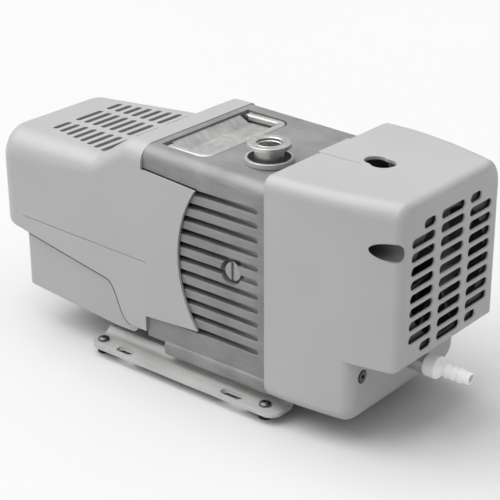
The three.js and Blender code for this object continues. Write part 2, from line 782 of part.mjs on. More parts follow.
function wingOutline() {
  const centreX = wingTipX + Math.sqrt(wingBite ** 2 - wingReach ** 2);
  const half = Math.asin(wingReach / wingBite);
  const shape = new THREE.Shape();
  shape.moveTo(housingLeft - 4, wingMiddle - wingReach - 3.4);
  shape.lineTo(wingTipX - 2, wingMiddle - wingReach);
  shape.absarc(centreX, wingMiddle, wingBite, Math.PI + half, Math.PI - half, true);
  shape.lineTo(housingLeft - 4, wingMiddle + wingReach + 4.2);
  return shape;
}

function cowlSlots() {
  const slots = [];
  const half = cowlSlotWidth / 2;
  for (let i = 0; i < cowlSlotCount; i++) {
    const x = cowlSlotFirst + i * cowlSlotPitch;
    const grown = (cowlSlotSpread * i) / (cowlSlotCount - 1);
    const { front: nearRow, middle, rear: farRow } = cowlSlotRows;
    const rows = [[nearRow[0] - grown, nearRow[1]], middle, [farRow[0], farRow[1] + grown]];
    for (const [front, rear] of rows) {
      const slot = roundedRect(x - half, x + half, front, rear, half - 0.1);
      slots.push(prism(slot, "z", axisZ + motorRadius - 20, cowlTopHigh + 30, 1));
    }
  }
  return slots;
}

function buildCowl() {
  let cowl = cowlBody(0, 0, housingLeft - gap).intersect(prism(cowlSideOutline(), "y", -100, 100));
  for (const side of sides) {
    const span = [side * (cowlHalf - cowlSideWall), side * cowlHalf].sort((a, b) => a - b);
    cowl = cowl.add(prism(wingOutline(), "y", ...span, 8));
  }
  cowl = cowl.subtract(cowlBody(cowlSideWall, cowlWall, housingLeft + 20));
  add("motor_cowl", cut(cowl, cowlSlots()), plastic());
}

// ---------- electronics tray ----------
const trayHalf = cowlHalf - cowlSideWall - gap;
const controllerTop = axisZ - motorRadius - 4;

function buildTray() {
  const shell = box([trayLeft, trayRight], [-trayHalf, trayHalf], [trayBottom, trayTop]);
  const slope = polygon([
    [trayLeft - 5, 0],
    [trayRight + 5, 0],
    [trayRight + 5, trayBottom],
    [traySlopeEnd, trayBottom],
    [trayLeft - 5, trayBottom + traySlope],
  ]);
  const under = prism(slope, "y", -100, 100);
  const hollowSlope = prism(slope, "y", -100, 100).translate([0, 0, trayWall]);
  const inside = box(
    [trayLeft + trayWall, trayRight - trayWall],
    [trayWall - trayHalf, trayHalf - trayWall],
    [trayBottom + trayWall, trayTop + 1],
  ).subtract(hollowSlope);
  const tray = cut(shell, [
    under,
    inside,
    onAxis(motorRadius + 1.5, -163, trayRight + 1, 40),
    onAxis(motorFanRadius + 2, trayLeft - 1, -162, 32),
    box([trayLeft - 1, trayLeft + 4], [socketY - 14.3, socketY + 14.3], [socketZ - 10.3, socketZ + 10.3]),
    box([trayLeft - 1, trayLeft + 4], [switchY - 7.3, switchY + 7.3], [switchZ - 10.8, switchZ + 10.8]),
  ]);
  add("electronics_tray", tray, plastic());
}

function buildElectronics() {
  const left = trayLeft + 25;
  const can = disc("x", capacitorY, capacitorZ, capacitorRadius, left, left + 48, 20);
  const cap = disc("x", capacitorY, capacitorZ, capacitorRadius - 1.5, left + 47.5, left + 51, 20);
  add("motor_capacitor", can.add(cap), blackPlastic());
  const [start, end] = [trayLeft + 23, trayLeft + 87];
  const controller = box([start, end], [14, 50], [trayBottom + 8.5, controllerTop]);
  const channels = [];
  const [channel, pitch, depth] = [4, 9, 4];
  for (let x = start + 6; x < end - channel; x += pitch) {
    channels.push(box([x, x + channel], [16, 48], [controllerTop - depth, controllerTop + 1]));
  }
  add("motor_controller", cut(controller, channels), castAluminium());
}

function buildPowerEntry() {
  const face = trayLeft - gap;
  const flangePlate = box([face - 2.5, face], [socketY - 17, socketY + 17], [socketZ - 13, socketZ + 13]);
  const core = box([face - 2, trayLeft + 12], [socketY - 14, socketY + 14], [socketZ - 10, socketZ + 10]);
  const well = box([face - 4, trayLeft + 9.5], [socketY - 12, socketY + 12], [socketZ - 7.7, socketZ + 7.7]);
  let inlet = flangePlate.add(core).subtract(well);
  for (const [y, z] of [[-7, -1.5], [0, 2.5], [7, -1.5]]) {
    inlet = inlet.add(box(
      [trayLeft + 1, trayLeft + 10],
      [socketY + y - 1, socketY + y + 1],
      [socketZ + z - 2, socketZ + z + 2],
    ));
  }
  add("power_inlet", inlet, blackPlastic());
  const frame = box([face - 1.6, face], [switchY - 9, switchY + 9], [switchZ - 12.5, switchZ + 12.5]);
  const body = box([face - 1, rearBearingLeft - gap], [switchY - 7, switchY + 7], [switchZ - 10.5, switchZ + 10.5]);
  const window = box([face - 3, trayLeft + 10], [switchY - 5.6, switchY + 5.6], [switchZ - 9, switchZ + 9]);
  add("switch_bezel", frame.add(body).subtract(window), blackPlastic());
  const profile = polygon([[face - 3.6, switchZ - 7], [face + 2, switchZ - 7], [face + 6, switchZ],
    [face + 2, switchZ + 7], [face - 1.2, switchZ + 7], [face - 0.8, switchZ]]);
  add("power_switch", prism(profile, "y", switchY - 5.2, switchY + 5.2), blackPlastic());
}

// ---------- fan shroud ----------
function shroudHalfAt(x) {
  const share = Math.max(0, (x - shroudTaperStart) / (shroudRight - shroudTaperStart));
  return shroudHalf - (shroudHalf - shroudHalfEnd) * share ** 1.6;
}

function shroudBody(wall) {
  const right = shroudRight - wall;
  const radius = shroudEndRadius - wall;
  const straight = [shroudLeft - (wall ? 5 : 0), shroudTaperStart, 102, 120, 138];
  const rounded = [3, 2, 1, 0].map((i) => right - radius * (1 - Math.cos((i * Math.PI) / 6)));
  const sections = [...straight, ...rounded].map((x) => {
    const drawn = roundOver(radius, right - x);
    return {
      x,
      half: shroudHalfAt(x) - wall - drawn,
      top: shroudTop - wall - drawn,
      bottom: shroudBottom + wall + drawn,
      upper: shroudEdge - wall,
      lower: shroudEdge - wall,
    };
  });
  return loft(sections);
}

function notchBlock(wall) {
  return box([notchX - wall, shroudRight + 5], [-100, 100], [0, notchTop + wall]);
}

function grilleSlots() {
  const slots = [];
  const x = [shroudRight - 8, shroudRight + 2];
  for (let row = 0; row < grilleRows; row++) {
    const z = grilleMiddle + (row - (grilleRows - 1) / 2) * grillePitch;
    const short = row === 0 || row === grilleRows - 1;
    const outer = short ? grilleShort : grilleOuter;
    const columns = [[-outer, -grilleInner], [-grilleMiddleHalf, grilleMiddleHalf], [grilleInner, outer]];
    for (const [from, to] of columns) {
      const half = grilleSlot / 2;
      slots.push(prism(roundedRect(from, to, z - half, z + half, half - 0.05), "x", ...x, 1));
    }
  }
  return slots;
}

function buildShroud() {
  const outer = shroudBody(0).subtract(notchBlock(0));
  const inside = shroudBody(shroudWall).subtract(notchBlock(shroudWall));
  let shroud = outer.subtract(inside);
  for (const side of sides) {
    const high = [side * accessY, accessZ];
    const low = [side * lowScrewY, lowScrewZ];
    const pocket = disc("x", ...high, accessRadius + 2, screwSeat, shroudRight - 2, 16);
    const sleeve = pocket.intersect(shroudBody(0));
    const boss = disc("x", ...low, 7, screwSeat, notchX - 1, 14);
    shroud = join([shroud, sleeve, boss]);
    shroud = cut(shroud, [
      disc("x", ...high, accessRadius, screwSeat + seatThick, shroudRight + 1, 16),
      disc("x", ...high, 2.6, screwSeat - 1, screwSeat + seatThick + 1, 10),
      disc("x", ...low, 4.8, screwSeat + seatThick, notchX + 1, 14),
      disc("x", ...low, 2.6, screwSeat - 1, screwSeat + seatThick + 1, 10),
    ]);
  }
  const keyhole = [keyholeLeft, keyholeRight].map((x) =>
    disc("z", x, 0, keyholeRadius, shroudTop - 28, shroudTop + 22, 16),
  );
  const outlet = disc("x", 0, exhaustZ, exhaustRadius + 1.6, notchX - 5, notchX + 1, 24);
  add("fan_shroud", cut(shroud, [...keyhole, outlet, ...grilleSlots()]), plastic());
}

function buildPillars() {
  pillarPlaces.forEach(([y, z], i) => {
    const start = housingRight + gap;
    const pillar = disc("x", y, z, 4, start, screwSeat - gap, 12);
    const bore = disc("x", y, z, scrollBoltRadius + gap, screwSeat - 16, screwSeat, 10);
    add("shroud_pillar_" + (i + 1), pillar.subtract(bore), steel());
    const seat = screwSeat + seatThick + gap;
    const shank = disc("x", y, z, scrollBoltRadius, screwSeat - 13, seat + 0.5, 10);
    const head = disc("x", y, z, 4, seat, seat + 2.6, 14);
    const socket = disc("x", y, z, 1.7, seat + 1, seat + 4, 6);
    add("shroud_screw_" + (i + 1), shank.add(head).subtract(socket), steel());
  });
}

// ---------- cooling fan ----------
const fanRight = shroudRight - shroudWall - gap;
const fanLeft = fanRight - fanDepth;

function buildFan() {
  const half = fanSize / 2;
  const outline = roundedRect(-half, half, fanZ - half, fanZ + half, 5);
  let frame = prism(outline, "x", fanLeft, fanRight, 3);
  frame = frame.subtract(disc("x", 0, fanZ, fanBore, fanLeft - 1, fanRight + 1, 40));
  const spokes = [
    box([fanLeft, fanLeft + 3], [-2, 2], [fanZ - fanBore - 1, fanZ + fanBore + 1]),
    box([fanLeft, fanLeft + 3], [-fanBore - 1, fanBore + 1], [fanZ - 2, fanZ + 2]),
  ];
  const hub = disc("x", 0, fanZ, fanHub, fanLeft, fanLeft + 4, 24);
  const axle = disc("x", 0, fanZ, 2, fanLeft + 3, fanLeft + 18, 14);
  add("cooling_fan_frame", join([frame, ...spokes, hub, axle]), blackPlastic());
  const wheelLeft = fanLeft + 4.6;
  const wheelRight = fanRight - 1.5;
  const cup = disc("x", 0, fanZ, fanHub, wheelLeft, wheelRight, 24);
  const bore = disc("x", 0, fanZ, 2 + gap, wheelLeft - 1, fanLeft + 19, 14);
  const bladeCount = 7;
  const blades = [];
  const blade = box([-9, 9], [-1, 1], [fanHub - 2, fanBore - 1.6]);
  for (let i = 0; i < bladeCount; i++) {
    const pitched = blade.rotate([0, 0, 42]).rotate([(360 * i) / bladeCount, 0, 0]);
    blades.push(pitched.translate([(wheelLeft + wheelRight) / 2, 0, fanZ]));
  }
  add("fan_impeller", join([cup, ...blades]).subtract(bore), blackPlastic());
}

// ---------- exhaust ----------
function buildExhaust() {
  const start = fixedPlateLeft + fixedPlateThick + gap;
  const pipeEnd = barbBase - gap;
  const run = (radius, extra) => [
    onAxis(radius, start - extra, exhaustDropX + radius, 12),
    disc("z", exhaustDropX, 0, radius, exhaustZ - radius, axisZ + radius, 12),
    disc("x", 0, exhaustZ, radius, exhaustDropX - radius, pipeEnd + extra, 12),
  ];
  add("exhaust_elbow", join(run(exhaustRadius, 0)).subtract(join(run(exhaustBore, 1))), castAluminium());
  const profile = [[exhaustBore, 0], [7.2, 0], [7.2, 6.4], [5.2, 8], [4.2, 9.5], [4.2, 12]];
  const ridgeCount = 3;
  const ridgePitch = 5;
  for (let i = 0; i < ridgeCount; i++) {
    const along = 12 + i * ridgePitch;
    profile.push([5.2, along + 0.4], [4.2, along + ridgePitch - 0.4]);
  }
  const tip = barbTip - barbBase;
  profile.push([4.2, tip - 1.2], [3.8, tip], [exhaustBore, tip], [exhaustBore, 0]);
  add("hose_barb", turned(profile, "x", [barbBase, 0, exhaustZ], 16), material(0xeeeeec, 0.4, 0));
}

buildBase();
buildFeet();
buildHousing();
buildSidePlug();
buildInlet();
buildHandle();
buildFixedScroll();
buildOrbitingScroll();
buildScrollBolts();
buildCrank();
buildMotor();
buildCowl();
buildTray();
buildElectronics();
buildPowerEntry();
buildShroud();
buildPillars();
buildFan();
buildExhaust();

const pump = new THREE.Group();
pump.add(parts);

export default pump;
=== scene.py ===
"""Compact dry scroll vacuum pump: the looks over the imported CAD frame. Lengths in the shape code are
millimetres in the pump's own frame, whose x = 0 is fixed to the inlet flange; row() turns them to metres."""
import json
import math

import bmesh
import bpy
from mathutils import Matrix, Vector


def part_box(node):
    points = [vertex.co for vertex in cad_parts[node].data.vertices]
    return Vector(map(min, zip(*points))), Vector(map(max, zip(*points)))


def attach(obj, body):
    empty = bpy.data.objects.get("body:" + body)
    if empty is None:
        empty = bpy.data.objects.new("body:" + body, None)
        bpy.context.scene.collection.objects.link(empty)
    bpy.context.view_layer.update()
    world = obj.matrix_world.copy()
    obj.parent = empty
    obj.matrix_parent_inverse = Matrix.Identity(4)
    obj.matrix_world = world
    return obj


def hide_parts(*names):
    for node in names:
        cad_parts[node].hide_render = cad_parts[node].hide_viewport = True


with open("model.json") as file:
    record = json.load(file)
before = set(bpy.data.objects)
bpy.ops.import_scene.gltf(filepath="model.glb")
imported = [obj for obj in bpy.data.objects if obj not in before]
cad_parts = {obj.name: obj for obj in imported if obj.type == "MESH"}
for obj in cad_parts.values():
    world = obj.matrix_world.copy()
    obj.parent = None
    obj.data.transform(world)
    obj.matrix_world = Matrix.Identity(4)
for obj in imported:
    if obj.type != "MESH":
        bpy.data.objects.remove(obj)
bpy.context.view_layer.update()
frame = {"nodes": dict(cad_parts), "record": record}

MM = 0.001
FLANGE_X = 34.5
FLANGE_Y = -22.5
AXIS_Z = 98
ABOVE = 200  # higher than every piece, for cutters that run out of the top
BESIDE = 80  # wider than every piece, for cutters that run out of both sides
flange_low, flange_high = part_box("inlet_flange")
flange_top = Vector(((flange_low.x + flange_high.x) / 2, (flange_low.y + flange_high.y) / 2, flange_high.z))
SHIFT = flange_top.x / MM - FLANGE_X


def mm_box(node):
    """A CAD node's (low, high) corners in the pump's frame, in millimetres."""
    low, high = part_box(node)
    shift = Vector((SHIFT, 0, 0))
    return low / MM - shift, high / MM - shift


def mm_middle(node):
    """The middle of a CAD node's box, as x, y, z in the pump's frame, in millimetres."""
    return [(a + b) / 2 for a, b in zip(*mm_box(node))]


def row(point):
    """A point of the pump's frame as the row's metres."""
    return Vector(((point[0] + SHIFT) * MM, point[1] * MM, point[2] * MM))


# ---------- mesh tools ----------
def mesh_object(name, points, faces):
    mesh = bpy.data.meshes.new(name)
    mesh.from_pydata([row(point) for point in points], [], faces)
    piece = bpy.data.objects.new(name, mesh)
    bpy.context.scene.collection.objects.link(piece)
    edit = bmesh.new()
    edit.from_mesh(mesh)
    bmesh.ops.remove_doubles(edit, verts=edit.verts, dist=1e-7)
    bmesh.ops.recalc_face_normals(edit, faces=edit.faces)
    edit.to_mesh(mesh)
    edit.free()
    return piece


def along(axis, u, v, w):
    """(u, v) in the outline's plane and w along the axis, as x, y, z."""
    if axis == "x":
        return (w, u, v)
    if axis == "y":
        return (u, w, v)
    return (u, v, w)


def skin(rings, name):
    """A closed body over rings of points, each with as many points as the next, capped at both ends."""
    count = len(rings[0])
    last = (len(rings) - 1) * count
    faces = [list(range(count)), list(range(last, last + count))]
    for start in range(0, last, count):
        for i in range(count):
            j = (i + 1) % count
            faces.append([start + i, start + j, start + count + j, start + count + i])
    return mesh_object(name, [point for ring in rings for point in ring], faces)


def stacked(outlines, axis, name="cutter"):
    """A body through outlines of equal length at their places along the axis: (place, outline) pairs."""
    return skin([[along(axis, u, v, place) for u, v in outline] for place, outline in outlines], name)


def prism(outline, axis, low, high, name="cutter"):
    return stacked([(low, outline), (high, outline)], axis, name)


def circle(u, v, radius, segments=48):
    turn = 2 * math.pi / segments
    return [(u + radius * math.cos(i * turn), v + radius * math.sin(i * turn)) for i in range(segments)]


def disc(axis, u, v, radius, low, high, segments=48, name="cutter"):
    return prism(circle(u, v, radius, segments), axis, low, high, name)


def block(x, y, z, name="cutter"):
    return prism([(x[0], y[0]), (x[1], y[0]), (x[1], y[1]), (x[0], y[1])], "z", z[0], z[1], name)


def arc(u, v, radius, start, end, steps):
    """Points on an arc, in degrees."""
    angles = [math.radians(start + (end - start) * i / steps) for i in range(steps + 1)]
    return [(u + radius * math.cos(a), v + radius * math.sin(a)) for a in angles]


def fillet(corners, steps=6):
    """A closed outline from (u, v, radius) corners, each rounded by its radius."""
    outline = []
    for i, (u, v, radius) in enumerate(corners):
        corner = Vector((u, v))
        if not radius:
            outline.append((u, v))
            continue
        before = (Vector(corners[i - 1][:2]) - corner).normalized()
        after = (Vector(corners[(i + 1) % len(corners)][:2]) - corner).normalized()
        half = before.angle(after) / 2
        centre = corner + (before + after).normalized() * (radius / math.sin(half))
        reach = radius / math.tan(half)
        first, last = corner + before * reach - centre, corner + after * reach - centre
        start = math.atan2(first.y, first.x)
        swing = (math.atan2(last.y, last.x) - start + math.pi) % (2 * math.pi) - math.pi
        for k in range(steps + 1):
            angle = start + swing * k / steps
            outline.append((centre.x + radius * math.cos(angle), centre.y + radius * math.sin(angle)))
    return outline


ROUND_GAP = 0.02  # a slot's end radius stays this far under half its width, so its flats keep a length


def rounded_rect(u0, u1, v0, v1, radius, steps=8):
    corners = [(u1 - radius, v0 + radius, -90), (u1 - radius, v1 - radius, 0),
               (u0 + radius, v1 - radius, 90), (u0 + radius, v0 + radius, 180)]
    return [point for u, v, start in corners for point in arc(u, v, radius, start, start + 90, steps)]


def lathe(profile, axis, place, name, segments=64):
    """Turns a closed profile of (radius, distance) about a line through place."""
    count = len(profile)
    points = []
    for s in range(segments):
        angle = 2 * math.pi * s / segments
        for radius, distance in profile:
            u, v = radius * math.cos(angle), radius * math.sin(angle)
            local = along(axis, u, v, distance)
            points.append([a + b for a, b in zip(local, place)])
    faces = []
    for s in range(segments):
        after = (s + 1) % segments
        for i in range(count):
            j = (i + 1) % count
            faces.append([s * count + i, s * count + j, after * count + j, after * count + i])
    piece = mesh_object(name, points, faces)
    edit = bmesh.new()
    edit.from_mesh(piece.data)
    bmesh.ops.dissolve_degenerate(edit, dist=1e-7, edges=edit.edges)
    edit.to_mesh(piece.data)
    edit.free()
    return piece


def loft(sections, name="cutter", steps=10):
    """A body through rounded box sections across x: (x, half, bottom, top, lower radius, upper radii).
    half and the upper radii are one number, or a (front, rear) pair."""
    outlines = []
    for x, half, bottom, top, lower, upper in sections:
        front, rear = half if isinstance(half, tuple) else (half, half)
        front_edge, rear_edge = upper if isinstance(upper, tuple) else (upper, upper)
        outline = arc(rear - lower, bottom + lower, lower, -90, 0, steps)
        outline += arc(rear - rear_edge, top - rear_edge, rear_edge, 0, 90, steps)
        outline += arc(front_edge - front, top - front_edge, front_edge, 90, 180, steps)
        outline += arc(lower - front, bottom + lower, lower, 180, 270, steps)
        outlines.append((x, outline))
    return stacked(outlines, "x", name)


def mouth(outline_at, axis, surface, outward, radius, depth, name="cutter", steps=4):
    """A cutter for an opening whose rim is rounded; outline_at(grown) gives the opening's outline."""
    levels = [(surface - outward * depth, outline_at(0))]
    for i in range(steps + 1):
        angle = math.pi / 2 * i / steps
        sunk, grown = radius * (1 - math.sin(angle)), radius * (1 - math.cos(angle))
        levels.append((surface - outward * sunk, outline_at(grown)))
    levels.append((surface + outward, outline_at(radius)))
    return stacked(levels, axis, name)


def sweep(path, section, name):
    """Carries a section of (across, up) along a path of (x, y, z) points that lies level."""
    rings = []
    for i, point in enumerate(path):
        before, after = Vector(path[max(0, i - 1)]), Vector(path[min(len(path) - 1, i + 1)])
        way = (after - before).normalized()
        side = Vector((-way.y, way.x, 0))
        rings.append([tuple(Vector(point) + side * across + Vector((0, 0, up))) for across, up in section])
    return skin(rings, name)


def bake(piece):
    """Applies the piece's modifiers to its mesh."""
    graph = bpy.context.evaluated_depsgraph_get()
    mesh = bpy.data.meshes.new_from_object(piece.evaluated_get(graph))
    piece.modifiers.clear()
    piece.data = mesh


def combine(piece, tools, operation):
    """One Boolean after another with each tool, which is then deleted."""
    for tool in tools:
        modifier = piece.modifiers.new("combine", "BOOLEAN")
        modifier.operation = operation
        modifier.solver = "MANIFOLD"
        modifier.object = tool
    bake(piece)
    for tool in tools:
        bpy.data.objects.remove(tool)
    return piece


def carve(piece, tools):
    return combine(piece, tools, "DIFFERENCE")


def unite(piece, tools):
    return combine(piece, tools, "UNION")


def keep(piece, tools):
    return combine(piece, tools, "INTERSECT")


def shade(piece, sharp_angle=33):
    """Smooth round faces with sharp edges between flats."""
    edit = bmesh.new()
    edit.from_mesh(piece.data)
    bmesh.ops.remove_doubles(edit, verts=edit.verts, dist=2e-6)
    bmesh.ops.dissolve_limit(edit, angle_limit=math.radians(0.4), verts=edit.verts, edges=edit.edges)
    for face in edit.faces:
        face.smooth = True
    for edge in edit.edges:
        edge.smooth = len(edge.link_faces) == 2 and edge.calc_face_angle(0) < math.radians(sharp_angle)
    edit.to_mesh(piece.data)
    edit.free()
    weigh = piece.modifiers.new("even_flats", "WEIGHTED_NORMAL")
    weigh.keep_sharp = True
    weigh.weight = 80
    return piece


def soften(piece, width, segments=2, angle=35):
    """A real rounded edge, width in millimetres."""
    bevel = piece.modifiers.new("edges", "BEVEL")
    bevel.width = width * MM
    bevel.segments = segments
    bevel.limit_method = "ANGLE"
    bevel.angle_limit = math.radians(angle)
    piece.modifiers.move(len(piece.modifiers) - 1, 0)
    return piece


# ---------- materials ----------
def new_material(name):
    material = bpy.data.materials.new(name)
    material.use_nodes = True
    tree = material.node_tree
    tree.nodes.clear()
    output = tree.nodes.new("ShaderNodeOutputMaterial")
    shader = tree.nodes.new("ShaderNodeBsdfPrincipled")
    tree.links.new(shader.outputs["BSDF"], output.inputs["Surface"])
    return material, tree, shader


def noise(tree, scale, detail=3.0, stretch=(1, 1, 1)):
    """Noise over the object's own metres, stretched by scaling each axis."""
    place = tree.nodes.new("ShaderNodeTexCoord")
    mapping = tree.nodes.new("ShaderNodeMapping")
    mapping.inputs["Scale"].default_value = stretch
    texture = tree.nodes.new("ShaderNodeTexNoise")
    texture.inputs["Scale"].default_value = scale
    texture.inputs["Detail"].default_value = detail
    tree.links.new(place.outputs["Object"], mapping.inputs["Vector"])
    tree.links.new(mapping.outputs["Vector"], texture.inputs["Vector"])
    return texture.outputs["Fac"]


def spread(tree, factor, low, high):
    """Maps noise to a range of values."""
    node = tree.nodes.new("ShaderNodeMapRange")
    node.inputs["From Min"].default_value = 0.3
    node.inputs["From Max"].default_value = 0.7
    node.inputs["To Min"].default_value = low
    node.inputs["To Max"].default_value = high
    tree.links.new(factor, node.inputs["Value"])
    return node.outputs["Result"]


def tint(tree, factor, dark, light):
    """Mixes two colours by a factor."""
    node = tree.nodes.new("ShaderNodeMix")
    node.data_type = "RGBA"
    node.inputs["A"].default_value = (*dark, 1)
    node.inputs["B"].default_value = (*light, 1)
    tree.links.new(factor, node.inputs["Factor"])
    return node.outputs["Result"]


def surface_normal(tree, shader, height, strength, depth):
    """Fine relief, depth in millimetres."""
    bump = tree.nodes.new("ShaderNodeBump")
    bump.inputs["Strength"].default_value = strength
    bump.inputs["Distance"].default_value = depth * MM
    tree.links.new(height, bump.inputs["Height"])
    tree.links.new(bump.outputs["Normal"], shader.inputs["Normal"])


def plastic(name, color, roughness=0.42, grain=0.05, sheen=0.5, scatter=0.0):
    material, tree, shader = new_material(name)
    dark = [c * 0.97 for c in color]
    light = [min(1, c * 1.03) for c in color]
    clouds = noise(tree, 14, 4)
    grains = noise(tree, 2400, 2)
    tree.links.new(tint(tree, spread(tree, clouds, 0, 1), dark, light), shader.inputs["Base Color"])
    tree.links.new(spread(tree, grains, roughness - 0.04, roughness + 0.04), shader.inputs["Roughness"])
    shader.inputs["Specular IOR Level"].default_value = sheen
    shader.inputs["Subsurface Weight"].default_value = scatter
    shader.inputs["Subsurface Scale"].default_value = 2 * MM
    surface_normal(tree, shader, grains, 0.25, grain)
    return material


def metal(name, color, roughness=0.3, grain=(1, 1, 1), scale=900, depth=0.02, variation=0.12, metallic=1.0):
    """Metal brushed across the axes that grain stretches."""
    material, tree, shader = new_material(name)
    brushed = noise(tree, scale, 4, grain)
    clouds = noise(tree, 45, 5)
    mixed = tree.nodes.new("ShaderNodeMath")
    mixed.operation = "MULTIPLY_ADD"
    mixed.inputs[1].default_value = 0.5
    halved = tree.nodes.new("ShaderNodeMath")
    halved.operation = "MULTIPLY"
    halved.inputs[1].default_value = 0.5
    tree.links.new(clouds, halved.inputs[0])
    tree.links.new(brushed, mixed.inputs[0])
    tree.links.new(halved.outputs["Value"], mixed.inputs[2])
    factor = spread(tree, mixed.outputs["Value"], 0, 1)
    dark = [c * (1 - variation) for c in color]
    light = [min(1, c * (1 + variation)) for c in color]
    tree.links.new(tint(tree, factor, dark, light), shader.inputs["Base Color"])
    tree.links.new(spread(tree, brushed, roughness - 0.07, roughness + 0.09), shader.inputs["Roughness"])
    shader.inputs["Metallic"].default_value = metallic
    surface_normal(tree, shader, brushed, 0.3, depth)
    return material


grey_plastic = plastic("grey_plastic", (0.385, 0.387, 0.385))
tray_grey = plastic("tray_grey", (0.38, 0.382, 0.38), 0.46)
# painted shade: a dark grey for the access pockets' walls, standing in for the shade deep inside them
painted_shade_pocket_grey = plastic("painted_shade_pocket_grey", (0.13, 0.131, 0.13), 0.5)
black_plastic = plastic("black_plastic", (0.018, 0.018, 0.02), 0.5, 0.04)
gloss_black = plastic("gloss_black", (0.014, 0.014, 0.015), 0.22, 0.01)
seal_plastic = plastic("seal_plastic", (0.10, 0.085, 0.07), 0.6)
barb_white = plastic("barb_white", (0.93, 0.93, 0.915), 0.32, 0.02, 0.5, 0.2)
foot_rubber = plastic("foot_rubber", (0.013, 0.013, 0.013), 0.75, 0.08, 0.3)
motor_paint = plastic("motor_paint", (0.05, 0.052, 0.056), 0.4, 0.06)
housing_metal = metal("housing_metal", (0.27, 0.27, 0.268), 0.62, (0.05, 1, 1), 1100, 0.02, 0.24, 0.6)
# painted light: a lighter copy of the casting's metal for the recess floor, standing in for the light it
# reflects
recess_painted_light_metal = metal("recess_painted_light_metal", (0.37, 0.37, 0.365), 0.55, (1, 1, 1), 260, 0.02, 0.26, 0.5)
# machined metal made brighter as painted light, for the light falling on the collar's side
collar_metal_with_painted_light = metal("collar_metal_with_painted_light", (0.55, 0.55, 0.545), 0.45, (1, 1, 1), 300, 0.002, 0.08, 0.7)
base_metal = metal("base_metal", (0.56, 0.56, 0.55), 0.6, (0.06, 1, 1), 900, 0.02, 0.12, 0.6)
machined = metal("machined", (0.60, 0.60, 0.59), 0.42, (1, 1, 1), 300, 0.001, 0.05)
handle_metal = metal("handle_metal", (0.50, 0.50, 0.49), 0.5, (1, 1, 1), 300, 0.001, 0.05, 0.8)
bright_steel = metal("bright_steel", (0.50, 0.50, 0.51), 0.3, (1, 1, 1), 500, 0.002, 0.05)
dark_steel = metal("dark_steel", (0.13, 0.13, 0.135), 0.36, (1, 1, 1), 500, 0.002, 0.05)
plug_steel = metal("plug_steel", (0.34, 0.34, 0.345), 0.34, (1, 1, 1), 500, 0.002, 0.05)
copper = metal("copper", (0.62, 0.27, 0.13), 0.35, (0.2, 1, 1), 1500, 0.05)

SLOT_LOOKS = {
    "cowl_plastic": grey_plastic,
    "shroud_plastic": grey_plastic,
    "tray_plastic": tray_grey,
    "housing_aluminium": housing_metal,
    "base_aluminium": base_metal,
    "handle_metal": handle_metal,
    "machined_aluminium": machined,
    "steel": bright_steel,
    "motor_paint": motor_paint,
    "copper": copper,
    "foot_rubber": foot_rubber,
    "seal_plastic": seal_plastic,
    "black_plastic": black_plastic,
    "rocker_plastic": gloss_black,
    "barb_plastic": barb_white,
}
node_slots = {part["node"]: part["material_slot"] for part in frame["record"]["subparts"]}
node_bodies = {
    node: body for body, nodes in frame["record"]["behaviour"]["bodies"].items() for node in nodes
}


def paint(piece, material):
    piece.data.materials.clear()
    piece.data.materials.append(material)


def dress_cad_nodes():
    """Every CAD node that stays shown gets its slot's material, smooth round faces and sharp edges between
    flats.
    """
    for name, node in frame["nodes"].items():
        paint(node, SLOT_LOOKS[node_slots[name]])
        for face in node.data.polygons:
            face.use_smooth = True
        split = node.modifiers.new("flat_faces", "EDGE_SPLIT")
        split.split_angle = math.radians(32)


def add_beside(piece, node, material):
    """An added piece moves with a CAD node's body and takes the given material."""
    paint(piece, material)
    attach(piece, node_bodies[node])


def stand_for(piece, node, material=None):
    """The piece takes a CAD node's place and body, with the material of the node's slot unless another is
    given; the node is hidden.
    """
    paint(piece, material or SLOT_LOOKS[node_slots[node]])
    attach(piece, node_bodies[node])
    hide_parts(node)


# ---------- fan shroud ----------
SHROUD_WALL = 2.5
SHROUD_EDGE = 9
SHROUD_EDGE_RIGHT = 12
SHROUD_REAR_EDGE = 4.5
SHROUD_REAR_EDGE_RIGHT = 15
SHROUD_END_RADIUS = 6
SHROUD_HALF_END = 56.5
SHROUD_TAPER_START = 84
SHROUD_TAPER_POWER = 1.6
SHROUD_LOWER_EDGE = 1.2
SECTION_PITCH = 5.6
SECTION_COUNT = 13
NOTCH_X = 134
NOTCH_TOP = 64
LEG_RADIUS = 8
LEG_OVERLAP = 12
GRILLE_ROWS = 10
GRILLE_PITCH = 9.44
GRILLE_MIDDLE = 117
GRILLE_SLOT = 6.2
GRILLE_LIP = 0.9
GRILLE_WALL = 1.4
GRILLE_CUT = 8
GRILLE_INNER = 20
GRILLE_CENTRE = 13.5
GRILLE_OUTER = 46
GRILLE_OUTER_SHORT = 33
GRILLE_PANEL = ((-49, 49), (70, 164.5))
ACCESS_RADIUS = 6.5
ACCESS_RIGHT = 165
ACCESS_TILT = 6
ACCESS_INWARD = 2
ACCESS_END_RADIUS = 3
POCKET_WALL = 0.8
SCREW_HEAD = 2.9
SCREW_HOLE = 2.6
SEAT_SINK = 0.3
SEAT_THICKNESS = 2.8
SEAT_RIM = 3
SEAT_RAISE = 1.5
NOTCH_BOSS = 7
NOTCH_POCKET = 4.8
OUTLET_RADIUS = 8.6
KEYHOLE_ROUNDS = ((104.5, 1, 7.6), (111.5, -1, 8.5))
KEYHOLE_LIP = 0.8
KEYHOLE_CUT = 12
TONGUE = (-10.6, 22.5)
TONGUE_REACH = 2.5
REBATE_DEPTH = 1.2
STEP_RIGHT = 101
STEP_WIDTH = 0.5
STEP_DEPTH = 0.6


def round_over(radius, distance):
    """How far a surface draws in at a distance from an end that is rounded over."""
    return 0 if distance >= radius else radius - math.sqrt(radius**2 - (radius - distance) ** 2)


